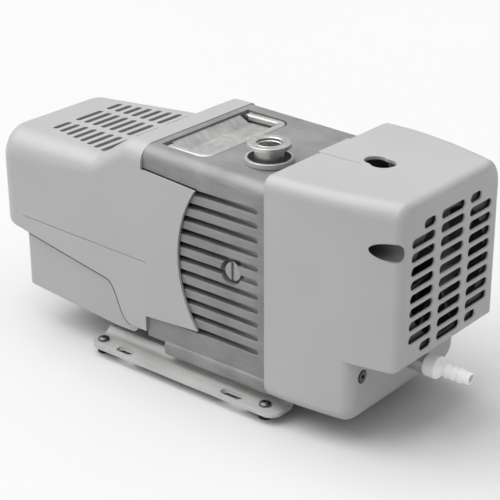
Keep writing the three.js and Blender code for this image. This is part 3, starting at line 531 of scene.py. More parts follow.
def end_steps(radius, steps=10):
    """Distances from a rounded end at which its sections stand, closer together towards the end."""
    return [radius * (1 - math.cos(i * math.pi / 2 / steps)) for i in range(steps + 1)]


def shroud_share(x, high):
    """How far the taper has gone at x: 0 where it starts, 1 at the fan end."""
    return max(0, (x - SHROUD_TAPER_START) / (high.x - SHROUD_TAPER_START)) ** SHROUD_TAPER_POWER


def shroud_half(x, high):
    return high.y - (high.y - SHROUD_HALF_END) * shroud_share(x, high)


def shroud_edges(x, wall, high):
    """The top edges are rounder towards the fan end."""
    share = shroud_share(x, high)
    front = SHROUD_EDGE + (SHROUD_EDGE_RIGHT - SHROUD_EDGE) * share
    rear = SHROUD_REAR_EDGE + (SHROUD_REAR_EDGE_RIGHT - SHROUD_REAR_EDGE) * share
    return (front - wall, rear - wall)


def shroud_sections(wall, radius, right, low, high):
    """One storey of the shroud, rounded over at its right end: (x, half width, drawn in, top edges)."""
    radius -= wall
    right -= wall
    left = low.x - (5 if wall else 0)
    stations = [left] + [SHROUD_TAPER_START + SECTION_PITCH * i for i in range(SECTION_COUNT)]
    stations = [x for x in stations if x < right - radius - 1]
    stations += [right - step for step in reversed(end_steps(radius))]
    sections = []
    for x in stations:
        drawn = round_over(radius, right - x)
        sections.append((x, shroud_half(x, high) - wall - drawn, drawn, shroud_edges(x, wall, high)))
    return sections


def shroud_body(wall, low, high):
    """The tall upper storey over the full length, and the leg that ends at the notch."""
    upper = [
        (x, half, NOTCH_TOP + wall + drawn, high.z - wall - drawn, SHROUD_LOWER_EDGE, edges)
        for x, half, drawn, edges in shroud_sections(wall, SHROUD_END_RADIUS, high.x, low, high)
    ]
    leg = [
        (x, half, low.z + wall + drawn, NOTCH_TOP + LEG_OVERLAP, SHROUD_EDGE - wall, 1)
        for x, half, drawn, _ in shroud_sections(wall, LEG_RADIUS, NOTCH_X, low, high)
    ]
    return unite(loft(upper, "fan_shroud_shell"), [loft(leg)])


def grille_slots(high):
    """Three columns of slots; the first and the last row are shorter at the outside."""
    tools = []
    for line in range(GRILLE_ROWS):
        z = GRILLE_MIDDLE + (line - (GRILLE_ROWS - 1) / 2) * GRILLE_PITCH
        outer = GRILLE_OUTER_SHORT if line in (0, GRILLE_ROWS - 1) else GRILLE_OUTER
        for y0, y1 in ((-outer, -GRILLE_INNER), (-GRILLE_CENTRE, GRILLE_CENTRE), (GRILLE_INNER, outer)):
            def outline(grown, y0=y0, y1=y1, z=z):
                half = GRILLE_SLOT / 2 + grown
                return rounded_rect(y0 - grown, y1 + grown, z - half, z + half, half - ROUND_GAP, 6)
            tools.append(mouth(outline, "x", high.x, 1, GRILLE_LIP, GRILLE_CUT))
    return tools


def access_recess(y, z, seat, grown=0):
    """A round pocket that leans outwards from its screw and closes at its right end."""
    length = ACCESS_RIGHT - seat + grown
    radius = ACCESS_RADIUS + grown
    turn = ACCESS_END_RADIUS
    profile = [(0, 0), (radius, 0)]
    profile += arc(radius - turn, length - turn, turn, 0, 90, 8) + [(0, length)]
    pocket = lathe(profile, "x", (0, 0, 0), "cutter", 48)
    lean = math.radians(ACCESS_TILT) * (1 if y > 0 else -1)
    pocket.data.transform(Matrix.Translation(row((0, 0, 0))).inverted())
    start = row((seat, y - math.copysign(ACCESS_INWARD, y), z))
    pocket.data.transform(Matrix.Translation(start) @ Matrix.Rotation(lean, 4, "Z"))
    return pocket


def build_pocket_liner(number, y, z, seat, low, high):
    """The pocket wall behind an access opening in the shroud's side, dark grey as painted shade of the deep
    pocket.
    """
    liner = carve(access_recess(y, z, seat, POCKET_WALL), [access_recess(y, z, seat)])
    keep(liner, [shroud_body(SHROUD_WALL, low, high)])
    liner.name = f"access_pocket_{number}"
    add_beside(shade(liner), "fan_shroud", painted_shade_pocket_grey)


def cut_screw_seats(shell, low, high):
    """The upper screws sit in leaning pockets in the sides, the lower ones in bosses in the notch."""
    seat = mm_box("shroud_screw_1")[1].x - SCREW_HEAD
    for number in (1, 2, 3, 4):
        _, y, z = mm_middle(f"shroud_screw_{number}")
        hole = disc("x", y, z, SCREW_HOLE, seat - 5, seat + 1, 24)
        if number in (1, 2):
            boss = disc("x", y, z, ACCESS_RADIUS + SEAT_RIM, seat - SEAT_THICKNESS, seat + SEAT_RAISE)
            unite(shell, [keep(boss, [shroud_body(0, low, high)])])
            carve(shell, [access_recess(y, z, seat - SEAT_SINK), hole])
            build_pocket_liner(number, y, z, seat - SEAT_SINK, low, high)
        else:
            unite(shell, [disc("x", y, z, NOTCH_BOSS, seat - SEAT_THICKNESS, NOTCH_X - 1)])
            carve(shell, [disc("x", y, z, NOTCH_POCKET, seat - SEAT_SINK, NOTCH_X + 1), hole])


def keyhole_rounds(high):
    """Two rounds that meet as the keyhole in the shroud's top."""
    tools = []
    for x, y, radius in KEYHOLE_ROUNDS:
        def outline(grown, x=x, y=y, radius=radius):
            return circle(x, y, radius + grown)
        tools.append(mouth(outline, "z", high.z, 1, KEYHOLE_LIP, KEYHOLE_CUT))
    return tools


def shroud_trims(low, high):
    """The thinner grille panel, the rebate at the open end with its tongue, and the step line beside it."""
    panel = block((high.x - SHROUD_WALL - 0.5, high.x - GRILLE_WALL), *GRILLE_PANEL)
    edge = low.x + TONGUE_REACH
    rebate = block((low.x - 1, edge), (-BESIDE, BESIDE), (0, ABOVE))
    tongue = block((low.x - 2, edge + 1), TONGUE, (high.z - 20, ABOVE + 1))
    carve(rebate, [tongue, shroud_body(REBATE_DEPTH, low, high)])
    line_y = (TONGUE[0] - STEP_WIDTH, TONGUE[0])
    line = block((low.x - 1, STEP_RIGHT), line_y, (high.z - STEP_DEPTH, high.z + 1))
    return [panel, rebate, line]


def build_shroud():
    low, high = mm_box("fan_shroud")
    shell = shroud_body(0, low, high)
    carve(shell, [shroud_body(SHROUD_WALL, low, high)])
    cut_screw_seats(shell, low, high)
    keyhole = keyhole_rounds(high)
    outlet = disc("x", 0, mm_middle("hose_barb")[2], OUTLET_RADIUS, NOTCH_X - 5, NOTCH_X + 1)
    carve(shell, keyhole + shroud_trims(low, high) + [outlet] + grille_slots(high))
    stand_for(shade(shell), "fan_shroud")


def darken_shroud_screws():
    for number in range(1, 5):
        paint(frame["nodes"][f"shroud_screw_{number}"], dark_steel)


# ---------- motor cowl ----------
COWL_SIDE_WALL = 2
COWL_WALL = 2.5
COWL_TOP_LOW = 150.5
COWL_SECTION_PITCH = 12
COWL_SECTION_COUNT = 5
RAMP_LOW = -97
RAMP_HIGH = -63
RAMP_STEPS = 12
RAMP_EASE = 0.35
COWL_LEFT = -195
COWL_EDGE = 13
COWL_EDGE_LEFT = 21
COWL_REAR_EDGE = 5
COWL_REAR_EDGE_LEFT = 30
COWL_END_RADIUS = 16
COWL_REAR_END_RADIUS = 8
COWL_SWEEP_START = (-180, 77.6)
COWL_SWEEP = ((-84, 60.7), (-74, 58), (-74, 33), (-62, 30))
COWL_END_LOW = 104
CREASE = ((-170, 87.7), (-45, 84.7), (-45, 84.1), (-170, 87.1))
CREASE_DEPTH = 0.5
COWL_SLOT_COUNT = 8
COWL_SLOT_LEFT = -161
COWL_SLOT_PITCH = 8.75
COWL_SLOT_HALF = 2.3
COWL_SLOT_FLOOR = 120
COWL_SLOT_FAN_OUT = 12
COWL_SLOT_FRONT = (-34, -16.5)
COWL_SLOT_MIDDLE = (-10.5, 17)
COWL_SLOT_REAR = (22.3, 38)
WING_TIP_X = 2
WING_BITE = 91
WING_MIDDLE_Z = 97.3
WING_REACH = 52.3
WING_FOOT = 41.6
WING_TIP_LOW = 45
WING_TOP = 153.8


def cowl_top(x, high):
    share = min(1, max(0, (x - RAMP_LOW) / (RAMP_HIGH - RAMP_LOW)))
    eased = share * share * (3 - 2 * share) * RAMP_EASE + share * (1 - RAMP_EASE)
    return COWL_TOP_LOW + (high.z - COWL_TOP_LOW) * eased


def cowl_edges(x, wall):
    """The top edges are rounder towards the motor end."""
    share = min(1, max(0, (RAMP_LOW - x) / (RAMP_LOW - COWL_LEFT)))
    front = COWL_EDGE + (COWL_EDGE_LEFT - COWL_EDGE) * share
    rear = COWL_REAR_EDGE + (COWL_REAR_EDGE_LEFT - COWL_REAR_EDGE) * share
    return (front - wall, rear - wall)


def cowl_body(side_wall, wall, right, low, high):
    """The cowl's outside as a solid, or its inside where the walls are over zero."""
    left = low.x + wall
    radius = COWL_END_RADIUS - wall
    stations = [left + step for step in end_steps(radius)]
    stations += [left + radius + COWL_SECTION_PITCH * i for i in range(1, COWL_SECTION_COUNT + 1)]
    stations += [RAMP_LOW - 6]
    stations += [RAMP_LOW + (RAMP_HIGH - RAMP_LOW) * i / RAMP_STEPS for i in range(RAMP_STEPS + 1)] + [right]
    sections = []
    for x in stations:
        drawn = round_over(radius, x - left)
        rear_drawn = round_over(COWL_REAR_END_RADIUS - wall, x - left)
        half = (high.y - side_wall - drawn, high.y - side_wall - rear_drawn)
        top = cowl_top(x, high) - wall - rear_drawn
        sections.append((x, half, 0 if wall else 10, top, 1, cowl_edges(x, wall)))
    return loft(sections, "motor_cowl_shell")


def bezier(points, steps=14):
    """Points on a cubic curve through four handles."""
    curve = []
    for i in range(steps + 1):
        t = i / steps
        weights = ((1 - t) ** 3, 3 * t * (1 - t) ** 2, 3 * t * t * (1 - t), t**3)
        curve.append(tuple(sum(w * p[k] for w, p in zip(weights, points)) for k in (0, 1)))
    return curve


def cowl_side(low, joint):
    """The cowl seen from the side, without its wing."""
    end, lowest = COWL_END_LOW, COWL_SWEEP[-1][1]
    edge = [(low.x - 5, 220), (low.x - 5, end), (low.x + 0.4, end)]
    edge += bezier([(low.x + 0.4, end), (low.x + 2, 88), (low.x + 4, 80), COWL_SWEEP_START])
    edge += bezier(COWL_SWEEP)
    return edge + [(joint + 1, lowest), (joint + 1, 220)]


def wing_side(joint, grown=0):
    """The wing seen from the side; its free edge is an arc that hollows in towards the motor."""
    reach = WING_REACH + grown
    half = math.degrees(math.asin(reach / WING_BITE))
    centre = WING_TIP_X + grown + math.sqrt(WING_BITE**2 - reach**2)
    edge = [(joint - 4, WING_FOOT - grown), (WING_TIP_X - 2, WING_TIP_LOW - grown)]
    edge += arc(centre, WING_MIDDLE_Z, WING_BITE, 180 + half, 180 - half, 40)
    return edge + [(joint - 4, WING_TOP + grown)]


def cowl_slots():
    """Three rows of slots in the top, whose outer ends fan out towards the ramp."""
    tools = []
    half = COWL_SLOT_HALF
    for i in range(COWL_SLOT_COUNT):
        x = COWL_SLOT_LEFT + i * COWL_SLOT_PITCH
        grown = COWL_SLOT_FAN_OUT * i / (COWL_SLOT_COUNT - 1)
        rows = ((COWL_SLOT_FRONT[0] - grown, COWL_SLOT_FRONT[1]), COWL_SLOT_MIDDLE,
                (COWL_SLOT_REAR[0], COWL_SLOT_REAR[1] + grown))
        for y0, y1 in rows:
            outline = rounded_rect(x - half, x + half, y0, y1, half - ROUND_GAP, 5)
            tools.append(prism(outline, "z", COWL_SLOT_FLOOR, ABOVE))
    return tools


def build_cowl():
    low, high = mm_box("motor_cowl")
    joint = mm_box("pump_housing")[0].x
    shell = cowl_body(0, 0, joint + 0.2, low, high)
    keep(shell, [prism(cowl_side(low, joint), "y", -100, 100)])
    wings = [prism(wing_side(joint), "y", high.y - COWL_SIDE_WALL, high.y),
             prism(wing_side(joint), "y", low.y, low.y + COWL_SIDE_WALL)]
    unite(shell, wings)
    carve(shell, [cowl_body(COWL_SIDE_WALL, COWL_WALL, joint + 20, low, high)])
    carve(shell, [prism(CREASE, "y", low.y - 1, low.y + CREASE_DEPTH),
                  prism(CREASE, "y", high.y - CREASE_DEPTH, high.y + 1)])
    carve(shell, cowl_slots())
    stand_for(shade(shell), "motor_cowl")


# ---------- pump housing ----------
FIN_PITCH = 10.3
FIN_GROOVE = 4.2
FIN_EDGE = 0.5
GROOVE_DEPTH_LEFT = 12
GROOVE_DEPTH_RIGHT = 2.6
GROOVE_CUT = 14
GROOVE_COUNT = 11
GROOVE_TOP = 147.6
GROOVE_INSET = 6
GROOVE_RIGHT = 54.5
HOUSING_INSET = 1.4
HOUSING_TOP_LEFT = 169.5
HOUSING_TOP_RIGHT = 165.5
HOUSING_EDGE = (9, 4)
HOUSING_LOWER_EDGE = 3
RAIL_LEFT = -30
RAIL_TOP = 28
RAIL_OVERLAP = 4
RAIL_EDGE = 5
RAIL_CUT_LEFT = 65.5
RAIL_CUT_TOP = 22.5
SCROLL_BORE = 50.5
SHAFT_BORE = 17.3
MOTOR_SPIGOT = 44
SCROLL_LEFT = 30
SPIGOT_RIGHT = 14
COLLAR_RADIUS = 16.6
COLLAR_POCKET = 14.6
COLLAR_FLOOR = 161
INLET_BORE = 6.5
RECESS = (-41, 0.5)
RECESS_HALF = 46.5
RECESS_FLOOR = 162.3
RECESS_RADIUS = 10
RECESS_SQUARE_RIGHT = -20
PLUG_POCKET_RADIUS = 9
PLUG_POCKET_DEPTH = 5.8
WING_SHADOW = 1
WING_SHADOW_DEPTH = 2.4


def fin_grooves(low, half):
    """Round-lipped grooves on both sides, deep at the motor end and shallow at the fan end."""
    tools = []
    left, right = low.x + GROOVE_INSET, GROOVE_RIGHT
    for i in range(GROOVE_COUNT):
        z = GROOVE_TOP - i * FIN_PITCH

        def outline(grown, z=z):
            span = FIN_GROOVE / 2 + grown
            return rounded_rect(left - grown, right + grown, z - span, z + span, span - ROUND_GAP, 6)

        for side in (-1, 1):
            outside, shallow, deep = half + 5, half - GROOVE_DEPTH_RIGHT, half - GROOVE_DEPTH_LEFT
            plan = [(low.x, side * outside), (right + 5, side * outside), (right + 5, side * shallow),
                    (right, side * shallow), (left, side * deep), (low.x, side * deep)]
            groove = mouth(outline, "y", side * half, side, FIN_EDGE, GROOVE_CUT)
            tools.append(keep(groove, [prism(plan, "z", z - 8, z + 8)]))
    return tools


def build_housing():
    low, high = mm_box("pump_housing")
    half = high.y - HOUSING_INSET
    sections = [(x, half, RAIL_TOP - RAIL_OVERLAP, top, HOUSING_LOWER_EDGE, HOUSING_EDGE)
                for x, top in ((low.x, HOUSING_TOP_LEFT), (high.x, HOUSING_TOP_RIGHT))]
    body = loft(sections, "pump_housing_casting")
    unite(body, [prism(rounded_rect(low.y, high.y, low.z, RAIL_TOP, RAIL_EDGE), "x", RAIL_LEFT, high.x)])
    unite(body, [disc("z", FLANGE_X, FLANGE_Y, COLLAR_RADIUS, COLLAR_FLOOR + 1, high.z, 96)])
    carve(body, [disc("x", 0, AXIS_Z, SCROLL_BORE, SCROLL_LEFT, high.x + 1, 72),
                 disc("x", 0, AXIS_Z, SHAFT_BORE, SPIGOT_RIGHT - 1, SCROLL_LEFT + 1, 48),
                 disc("x", 0, AXIS_Z, MOTOR_SPIGOT, low.x - 1, SPIGOT_RIGHT, 72)])
    carve(body, fin_grooves(low, half))
    shadow = wing_side(low.x, WING_SHADOW)
    carve(body, [prism(shadow, "y", -half - 1, WING_SHADOW_DEPTH - half),
                 prism(shadow, "y", half - WING_SHADOW_DEPTH, half + 1)])
    carve(body, [disc("z", FLANGE_X, FLANGE_Y, COLLAR_POCKET, COLLAR_FLOOR, ABOVE, 96),
                 disc("z", FLANGE_X, FLANGE_Y, INLET_BORE, AXIS_Z, ABOVE)])
    recess = rounded_rect(*RECESS, -RECESS_HALF, RECESS_HALF, RECESS_RADIUS, 10)
    carve(body, [prism(recess, "z", RECESS_FLOOR, ABOVE)])
    carve(body, [block((RECESS[0], RECESS_SQUARE_RIGHT), (-RECESS_HALF, RECESS_HALF), (RECESS_FLOOR, ABOVE))])
    plug_x, _, plug_z = mm_middle("side_port_plug")
    carve(body, [disc("y", plug_x, plug_z, PLUG_POCKET_RADIUS, -half - 5, PLUG_POCKET_DEPTH - half)])
    carve(body, [block((RAIL_CUT_LEFT, high.x + 1), (-BESIDE, BESIDE), (0, RAIL_CUT_TOP))])
    stand_for(shade(body), "pump_housing")


def build_side_plug():
    """A slotted plug in its round pocket among the fins."""
    low, high = mm_box("side_port_plug")
    x, _, z = mm_middle("side_port_plug")
    radius = (high.z - low.z) / 2
    rim, head, shank, slot, slot_depth = 0.8, 3.6, 3.9, 2.2, 1.6
    profile = [(0, low.y)] + arc(radius - rim, low.y + rim, rim, -90, 0, 5)
    profile += [(radius, low.y + head), (shank, low.y + head), (shank, high.y), (0, high.y)]
    plug = lathe(profile, "y", (x, 0, z), "side_port_plug_head")
    across = (z - radius - 1, z + radius + 1)
    carve(plug, [block((x - slot / 2, x + slot / 2), (low.y - 1, low.y + slot_depth), across)])
    stand_for(soften(shade(plug), 0.15), "side_port_plug", plug_steel)


# ---------- inlet and handle ----------
def build_inlet():
    """The turned flange: a filleted neck under a lip whose face has a groove and a stepped bore."""
    low, high = mm_box("inlet_flange")
    bore, neck, flange, root, edge = 8, 10, 15, 2.4, 0.5
    foot, lip, top = low.z, high.z - 3, high.z
    profile = [(bore, foot), (neck + root, foot), (neck + root, foot + 2)]
    profile += arc(neck + root, foot + 2 + root, root, 270, 180, 6)
    profile += [(neck, lip - 1.3)] + arc(flange - edge, lip + 0.4, edge, -75, 0, 4)
    profile += arc(flange - edge, top - edge, edge, 0, 90, 4)
    profile += [(bore + 2.4, top), (bore + 2.2, top - 0.25), (bore + 1.7, top - 0.25), (bore + 1.5, top)]
    profile += [(bore + 0.9, top), (bore + 0.6, top - 0.3), (bore + 0.6, top - 2), (bore, top - 2.4)]
    flange_piece = lathe(profile, "z", (FLANGE_X, FLANGE_Y, 0), "inlet_flange_turned", 96)
    stand_for(shade(flange_piece, 25), "inlet_flange")


def build_collar_ring():
    """The turned ring round the inlet's pocket, a skin over the collar; its bright metal is partly the
    machined ring's own and partly painted light on its lit side.
    """
    top = mm_box("pump_housing")[1].z
    inner, outer, depth, proud, chamfer = COLLAR_POCKET + 0.1, COLLAR_RADIUS + 0.2, 3.2, 0.1, 0.4
    profile = [(inner, top - depth), (outer, top - depth), (outer, top - chamfer + proud)]
    profile += [(outer - chamfer, top + proud), (inner + 0.2, top + proud)]
    ring = lathe(profile, "z", (FLANGE_X, FLANGE_Y, 0), "inlet_collar_ring", 96)
    add_beside(shade(ring), "pump_housing", collar_metal_with_painted_light)


def build_handle():
    """A bar bent to a U, with an eye at each pivot."""
    low, high = mm_box("carry_handle")
    pivot_x = mm_middle("handle_pin_1")[0]
    bar, corner, section_edge, pin_hole = 6, 8.9, 1.7, 1.8
    middle, radius = (low.z + high.z) / 2, (high.z - low.z) / 2
    reach = corner - bar / 2
    right, front, rear = high.x - bar / 2, low.y + bar / 2, high.y - bar / 2
    path = [(pivot_x, front)] + arc(right - reach, front + reach, reach, -90, 0, 12)
    path += arc(right - reach, rear - reach, reach, 0, 90, 12) + [(pivot_x, rear)]
    section = rounded_rect(-bar / 2, bar / 2, -radius, radius, section_edge, 6)
    handle = sweep([(x, y, middle) for x, y in path], section, "carry_handle_bar")
    eyes = [disc("y", pivot_x, middle, radius, *span) for span in
            ((low.y, low.y + bar), (high.y - bar, high.y))]
    unite(handle, eyes)
    carve(handle, [disc("y", pivot_x, middle, pin_hole, low.y - 1, high.y + 1, 24)])
    stand_for(shade(handle), "carry_handle")


def build_recess_floor():
    """A thin plate on the floor of the handle's recess, which rises at the pivots; its lighter metal is
    painted light, for the light the floor reflects.
    """
    gap, thickness, slope_half = 0.4, 0.3, 36.3
    left, right, half = RECESS[0] + gap, RECESS[1] - gap, RECESS_HALF - gap
    outline = rounded_rect(left, right, -half, half, RECESS_RADIUS - gap, 10)
    plate = prism(outline, "z", RECESS_FLOOR, RECESS_FLOOR + thickness, "recess_floor_plate")
    slope = [(-40.8, 162.4), (-40.8, 167.6), (-39.4, 167.4), (-31, 162.9), (-29, 162.4)]
    unite(plate, [prism(slope, "y", -slope_half, slope_half)])
    add_beside(shade(plate), "pump_housing", recess_painted_light_metal)


# ---------- base ----------
BASE_SHEET = 3
BASE_RISE = 4.7
BASE_MIDDLE_HALF = 48
BASE_BEND = 3
BASE_CORNER = 9
BASE_SLOTS = ((-65, 15), (36.5, 19))
BASE_SLOT_HALF = 3.5
BASE_SLOT_INSET = 6.5
FOOT_HOLE = 2.6


def base_profile(low, high):
    """The folded sheet seen from the end: its underside, then its top back again."""
    sheet, rise, middle = BASE_SHEET, BASE_RISE, BASE_MIDDLE_HALF
    inner, outer = BASE_BEND, BASE_BEND + BASE_SHEET
    step = middle + rise
    drop = sheet * math.tan(math.pi / 8)
    under = [(low.y, low.z, 0), (-step, low.z, inner), (-middle, low.z + rise, outer)]
    under += [(middle, low.z + rise, outer), (step, low.z, inner), (high.y, low.z, 0)]
    over = [(high.y, low.z + sheet, 0), (step + drop, low.z + sheet, outer)]
    over += [(middle + drop, high.z, inner), (-middle - drop, high.z, inner)]
    over += [(-step - drop, low.z + sheet, outer), (low.y, low.z + sheet, 0)]
    return fillet(under + over)


def build_base():
    """A folded plate with a raised middle, slotted along both sides."""
    low, high = mm_box("base_plate")
    plate = prism(base_profile(low, high), "x", low.x, high.x, "base_plate_folded")
    keep(plate, [prism(rounded_rect(low.x, high.x, low.y, high.y, BASE_CORNER, 10), "z", 0, 30)])
    tools = []
    for side in (-1, 1):
        y, half = side * (high.y - BASE_SLOT_INSET), BASE_SLOT_HALF
        for x, length in BASE_SLOTS:
            slot = rounded_rect(x - length / 2, x + length / 2, y - half, y + half, half - ROUND_GAP, 8)
            tools.append(prism(slot, "z", 0, 30))
    for number in range(1, 5):
        x, y, _ = mm_middle(f"rubber_foot_{number}")
        tools.append(disc("z", x, y, FOOT_HOLE, 0, 30, 32))
    carve(plate, tools)
    stand_for(soften(shade(plate), 0.35), "base_plate")


def build_foot(number):
    """A moulded rubber foot with a shallow groove round it and a hole for its screw."""
    low, high = mm_box(f"rubber_foot_{number}")
    x, y, _ = mm_middle(f"rubber_foot_{number}")
    radius = (high.y - low.y) / 2
    lower_edge, upper_edge, groove = 1.1, 0.6, 0.25
    profile = [(2.1, 2.4), (1.8, 1.8), (1.8, 0.4), (2.4, 0)]
    profile += arc(radius - lower_edge, lower_edge, lower_edge, -90, 0, 5)
    profile += [(radius, 3), (radius - groove, 3.2), (radius - groove, 3.7), (radius, 3.9)]
    profile += arc(radius - upper_edge, high.z - upper_edge, upper_edge, 0, 90, 4) + [(2.1, high.z)]
    foot = lathe(profile, "z", (x, y, 0), f"rubber_foot_{number}_moulded", 48)
    stand_for(shade(foot), f"rubber_foot_{number}")


def build_foot_screw(number):
    """A button-head screw with a hexagon socket."""
    low, high = mm_box(f"foot_screw_{number}")
    x, y, _ = mm_middle(f"rubber_foot_{number}")
    shank, button, height, socket = 1.8, 4.2, 2.6, 1.45
    head = high.z - height
    profile = [(0, low.z), (shank, low.z), (shank, head), (button, head), (button, head + 0.9)]
    profile += [(4.0, head + 1.3), (3.3, head + 1.9), (2.2, head + 2.4)]
    profile += [(1.0, head + height), (0, head + height)]
    screw = lathe(profile, "z", (x, y, 0), f"foot_screw_{number}_button", 48)
    carve(screw, [disc("z", x, y, socket, head + 1, head + 4, 6)])
    stand_for(soften(shade(screw), 0.12), f"foot_screw_{number}", dark_steel)


# ---------- electronics tray ----------
TRAY_WALL = 2.5
TRAY_EDGE = 5
TRAY_BEND = 20
TRAY_SLOPE = 8
TRAY_SLOPE_END = -80
MOTOR_RADIUS = 42
MOTOR_LEFT = -162
MOTOR_GAP = 1.5
MOTOR_LIP = 3
SEAM_UPPER = 0.3
SEAM_LOWER = (3.2, 2.4)
SEAM_DEPTH = 2


def tray_body(inset, low, high):
    """The tray's outside as a solid, or its inside where inset is over zero."""
    slope_end, edge = TRAY_SLOPE_END, TRAY_EDGE - inset
    left, right = low.x + inset, high.x - inset
    top = high.z + (3 if inset else 0)
    rise = TRAY_SLOPE * (slope_end - low.x) / (slope_end - low.x + 5)
    side = [(left, low.z + rise + inset, edge), (slope_end, low.z + inset, TRAY_BEND)]
    side += [(right, low.z + inset, edge), (right, top, 0), (left, top, 0)]
    body = prism(fillet(side), "y", low.y - 1, high.y + 1, "electronics_tray_shell")
    half = high.y - inset
    plan = fillet([(left, -half, edge), (right, -half, 0), (right, half, 0), (left, half, edge)])
    return keep(body, [prism(plan, "z", 0, 100)])


def tray_seams(high):
    """The dark seam under the cowl's lower edge, on both sides."""
    line = [COWL_SWEEP_START] + bezier(COWL_SWEEP)
    band = [(x + SEAM_UPPER, z + SEAM_UPPER) for x, z in line]
    band += [(x - SEAM_LOWER[0], z - SEAM_LOWER[1]) for x, z in reversed(line)]
    return [prism(band, "y", high.y - SEAM_DEPTH, high.y + 2),
            prism(band, "y", -high.y - 2, SEAM_DEPTH - high.y)]


def build_tray():
    low, high = mm_box("electronics_tray")
    tray = tray_body(0, low, high)
    carve(tray, [tray_body(TRAY_WALL, low, high)])
    tools = [disc("x", 0, AXIS_Z, MOTOR_RADIUS + MOTOR_GAP, MOTOR_LEFT - 1, high.x + 1, 72),
             disc("x", 0, AXIS_Z, MOTOR_RADIUS - MOTOR_LIP, low.x - 1, MOTOR_LEFT, 72)]
    for node, inset in (("power_inlet", 2.7), ("switch_bezel", 1.7)):
        box_low, box_high = mm_box(node)
        y, z = (box_low.y + inset, box_high.y - inset), (box_low.z + inset, box_high.z - inset)
        tools.append(block((low.x - 1, low.x + 4), y, z))
    carve(tray, tools)
    carve(tray, tray_seams(high))
    stand_for(soften(shade(tray), 0.3), "electronics_tray")


# ---------- exhaust barb ----------
def build_barb():
    """A moulded hose barb: a round collar, then three ridges that fall away towards the tip."""
    low, high = mm_box("hose_barb")
    start, bore, shank, ridge, collar, collar_edge = low.x, 3, 4.2, 5.2, 8, 1.6
    profile = [(bore, start - 3.5)] + arc(collar - collar_edge, start - 1.9, collar_edge, -90, 0, 6)
    profile += arc(collar - collar_edge, start + 4.9, collar_edge, 0, 70, 6)
    profile += [(5.6, start + 7.4), (4.6, start + 8.6), (shank, start + 9.8), (shank, start + 11.6)]
    for i in range(3):
        x = start + 12 + i * 5
        profile += [(ridge - 0.2, x), (ridge, x + 0.35), (ridge, x + 0.9), (shank, x + 4.6)]
    profile += [(shank, high.x - 1.2), (3.9, high.x - 0.2), (3.5, high.x), (bore, high.x)]
    barb = lathe(profile, "x", (0, 0, mm_middle("hose_barb")[2]), "hose_barb_moulded", 72)
    stand_for(shade(barb, 40), "hose_barb")


# ---------- stage, light and camera ----------
CAMERA_FROM_FLANGE = (0.5969, -0.741, 0.3465)
CAMERA_YAW = 39.65
CAMERA_PITCH = 24.07
CAMERA_ROLL = -0.33
CAMERA_LENS = 109.6
KEY_WAY = (0.35, 0.235, -0.90)
KEY_SPREAD = 70
KEY_POWER = 3.0
SOFTBOX_POWER = 2
SOFTBOX_PLACE = (-1.0, -1.7, 0.8)
SOFTBOX_TARGET = (0, 0, 0.1)
SOFTBOX_SIZE = (1.2, 1.0)
SKY_TOP = 0.8
SKY_LOW = 0.135
SKY_HIGH = 0.86
FLOOR_REACH = 60


def build_camera():
    """The camera stands to the right of the front, above the pump, and looks down at it."""
    data = bpy.data.cameras.new("camera")
    data.sensor_width = 36
    data.lens = CAMERA_LENS
    data.clip_start = 0.05
    camera = bpy.data.objects.new("camera", data)
    bpy.context.scene.collection.objects.link(camera)
    yaw, pitch, roll = (math.radians(angle) for angle in (CAMERA_YAW, CAMERA_PITCH, CAMERA_ROLL))
    place = Matrix.Translation(flange_top + Vector(CAMERA_FROM_FLANGE))
    turn = Matrix.Rotation(yaw, 4, "Z") @ Matrix.Rotation(math.pi / 2 - pitch, 4, "X")
    camera.matrix_world = place @ turn @ Matrix.Rotation(roll, 4, "Z")
    bpy.context.scene.camera = camera


def area_light(name, place, target, size, power):
    """A soft rectangle of light at a place, turned to its target."""
    data = bpy.data.lights.new(name, "AREA")
    data.shape = "RECTANGLE"
    data.size, data.size_y = size
    data.energy = power
    light = bpy.data.objects.new(name, data)
    bpy.context.scene.collection.objects.link(light)
    light.location = place
    light.rotation_mode = "QUATERNION"
    light.rotation_quaternion = (Vector(target) - Vector(place)).to_track_quat("-Z", "Y")


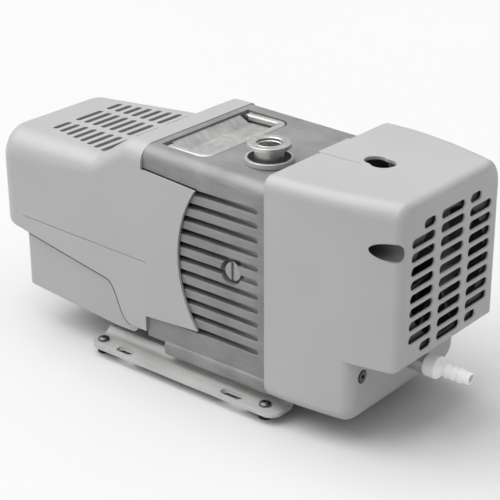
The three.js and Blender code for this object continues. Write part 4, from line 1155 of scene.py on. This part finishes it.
def build_stage():
    """A pale floor that runs out of sight."""
    floor = bpy.data.meshes.new("floor")
    reach = FLOOR_REACH
    corners = [(-reach, -reach, 0), (reach, -reach, 0), (reach, reach, 0), (-reach, reach, 0)]
    floor.from_pydata(corners, [], [(0, 1, 2, 3)])
    stage = bpy.data.objects.new("floor", floor)
    bpy.context.scene.collection.objects.link(stage)
    material, tree, shader = new_material("floor")
    clouds = noise(tree, 3, 2)
    tree.links.new(tint(tree, clouds, (0.60, 0.60, 0.60), (0.61, 0.61, 0.61)), shader.inputs["Base Color"])
    shader.inputs["Roughness"].default_value = 0.9
    floor.materials.append(material)


def build_sky():
    """A white sky, dim at the horizon and bright overhead."""
    world = bpy.data.worlds.new("studio")
    world.use_nodes = True
    tree = world.node_tree
    place = tree.nodes.new("ShaderNodeTexCoord")
    parts = tree.nodes.new("ShaderNodeSeparateXYZ")
    ramp = tree.nodes.new("ShaderNodeMapRange")
    ramp.inputs["From Min"].default_value = 0
    ramp.inputs["From Max"].default_value = SKY_TOP
    ramp.inputs["To Min"].default_value = SKY_LOW
    ramp.inputs["To Max"].default_value = SKY_HIGH
    tree.links.new(place.outputs["Generated"], parts.inputs["Vector"])
    tree.links.new(parts.outputs["Z"], ramp.inputs["Value"])
    background = tree.nodes["Background"]
    background.inputs["Color"].default_value = (1, 1, 1, 1)
    tree.links.new(ramp.outputs["Result"], background.inputs["Strength"])
    bpy.context.scene.world = world


def build_light():
    """A broad key from above, front and left, under a soft overhead sky."""
    build_sky()
    data = bpy.data.lights.new("key", "SUN")
    data.energy = KEY_POWER
    data.angle = math.radians(KEY_SPREAD)
    key = bpy.data.objects.new("key", data)
    bpy.context.scene.collection.objects.link(key)
    key.rotation_mode = "QUATERNION"
    key.rotation_quaternion = Vector(KEY_WAY).to_track_quat("-Z", "Y")
    area_light("front_softbox", SOFTBOX_PLACE, SOFTBOX_TARGET, SOFTBOX_SIZE, SOFTBOX_POWER)
    bpy.context.scene.view_settings.view_transform = "Standard"


dress_cad_nodes()
build_shroud()
build_cowl()
build_housing()
build_side_plug()
build_inlet()
build_handle()
build_recess_floor()
build_collar_ring()
build_base()
for foot in range(1, 5):
    build_foot(foot)
    build_foot_screw(foot)
build_tray()
build_barb()
darken_shroud_screws()
build_stage()
build_light()
build_camera()
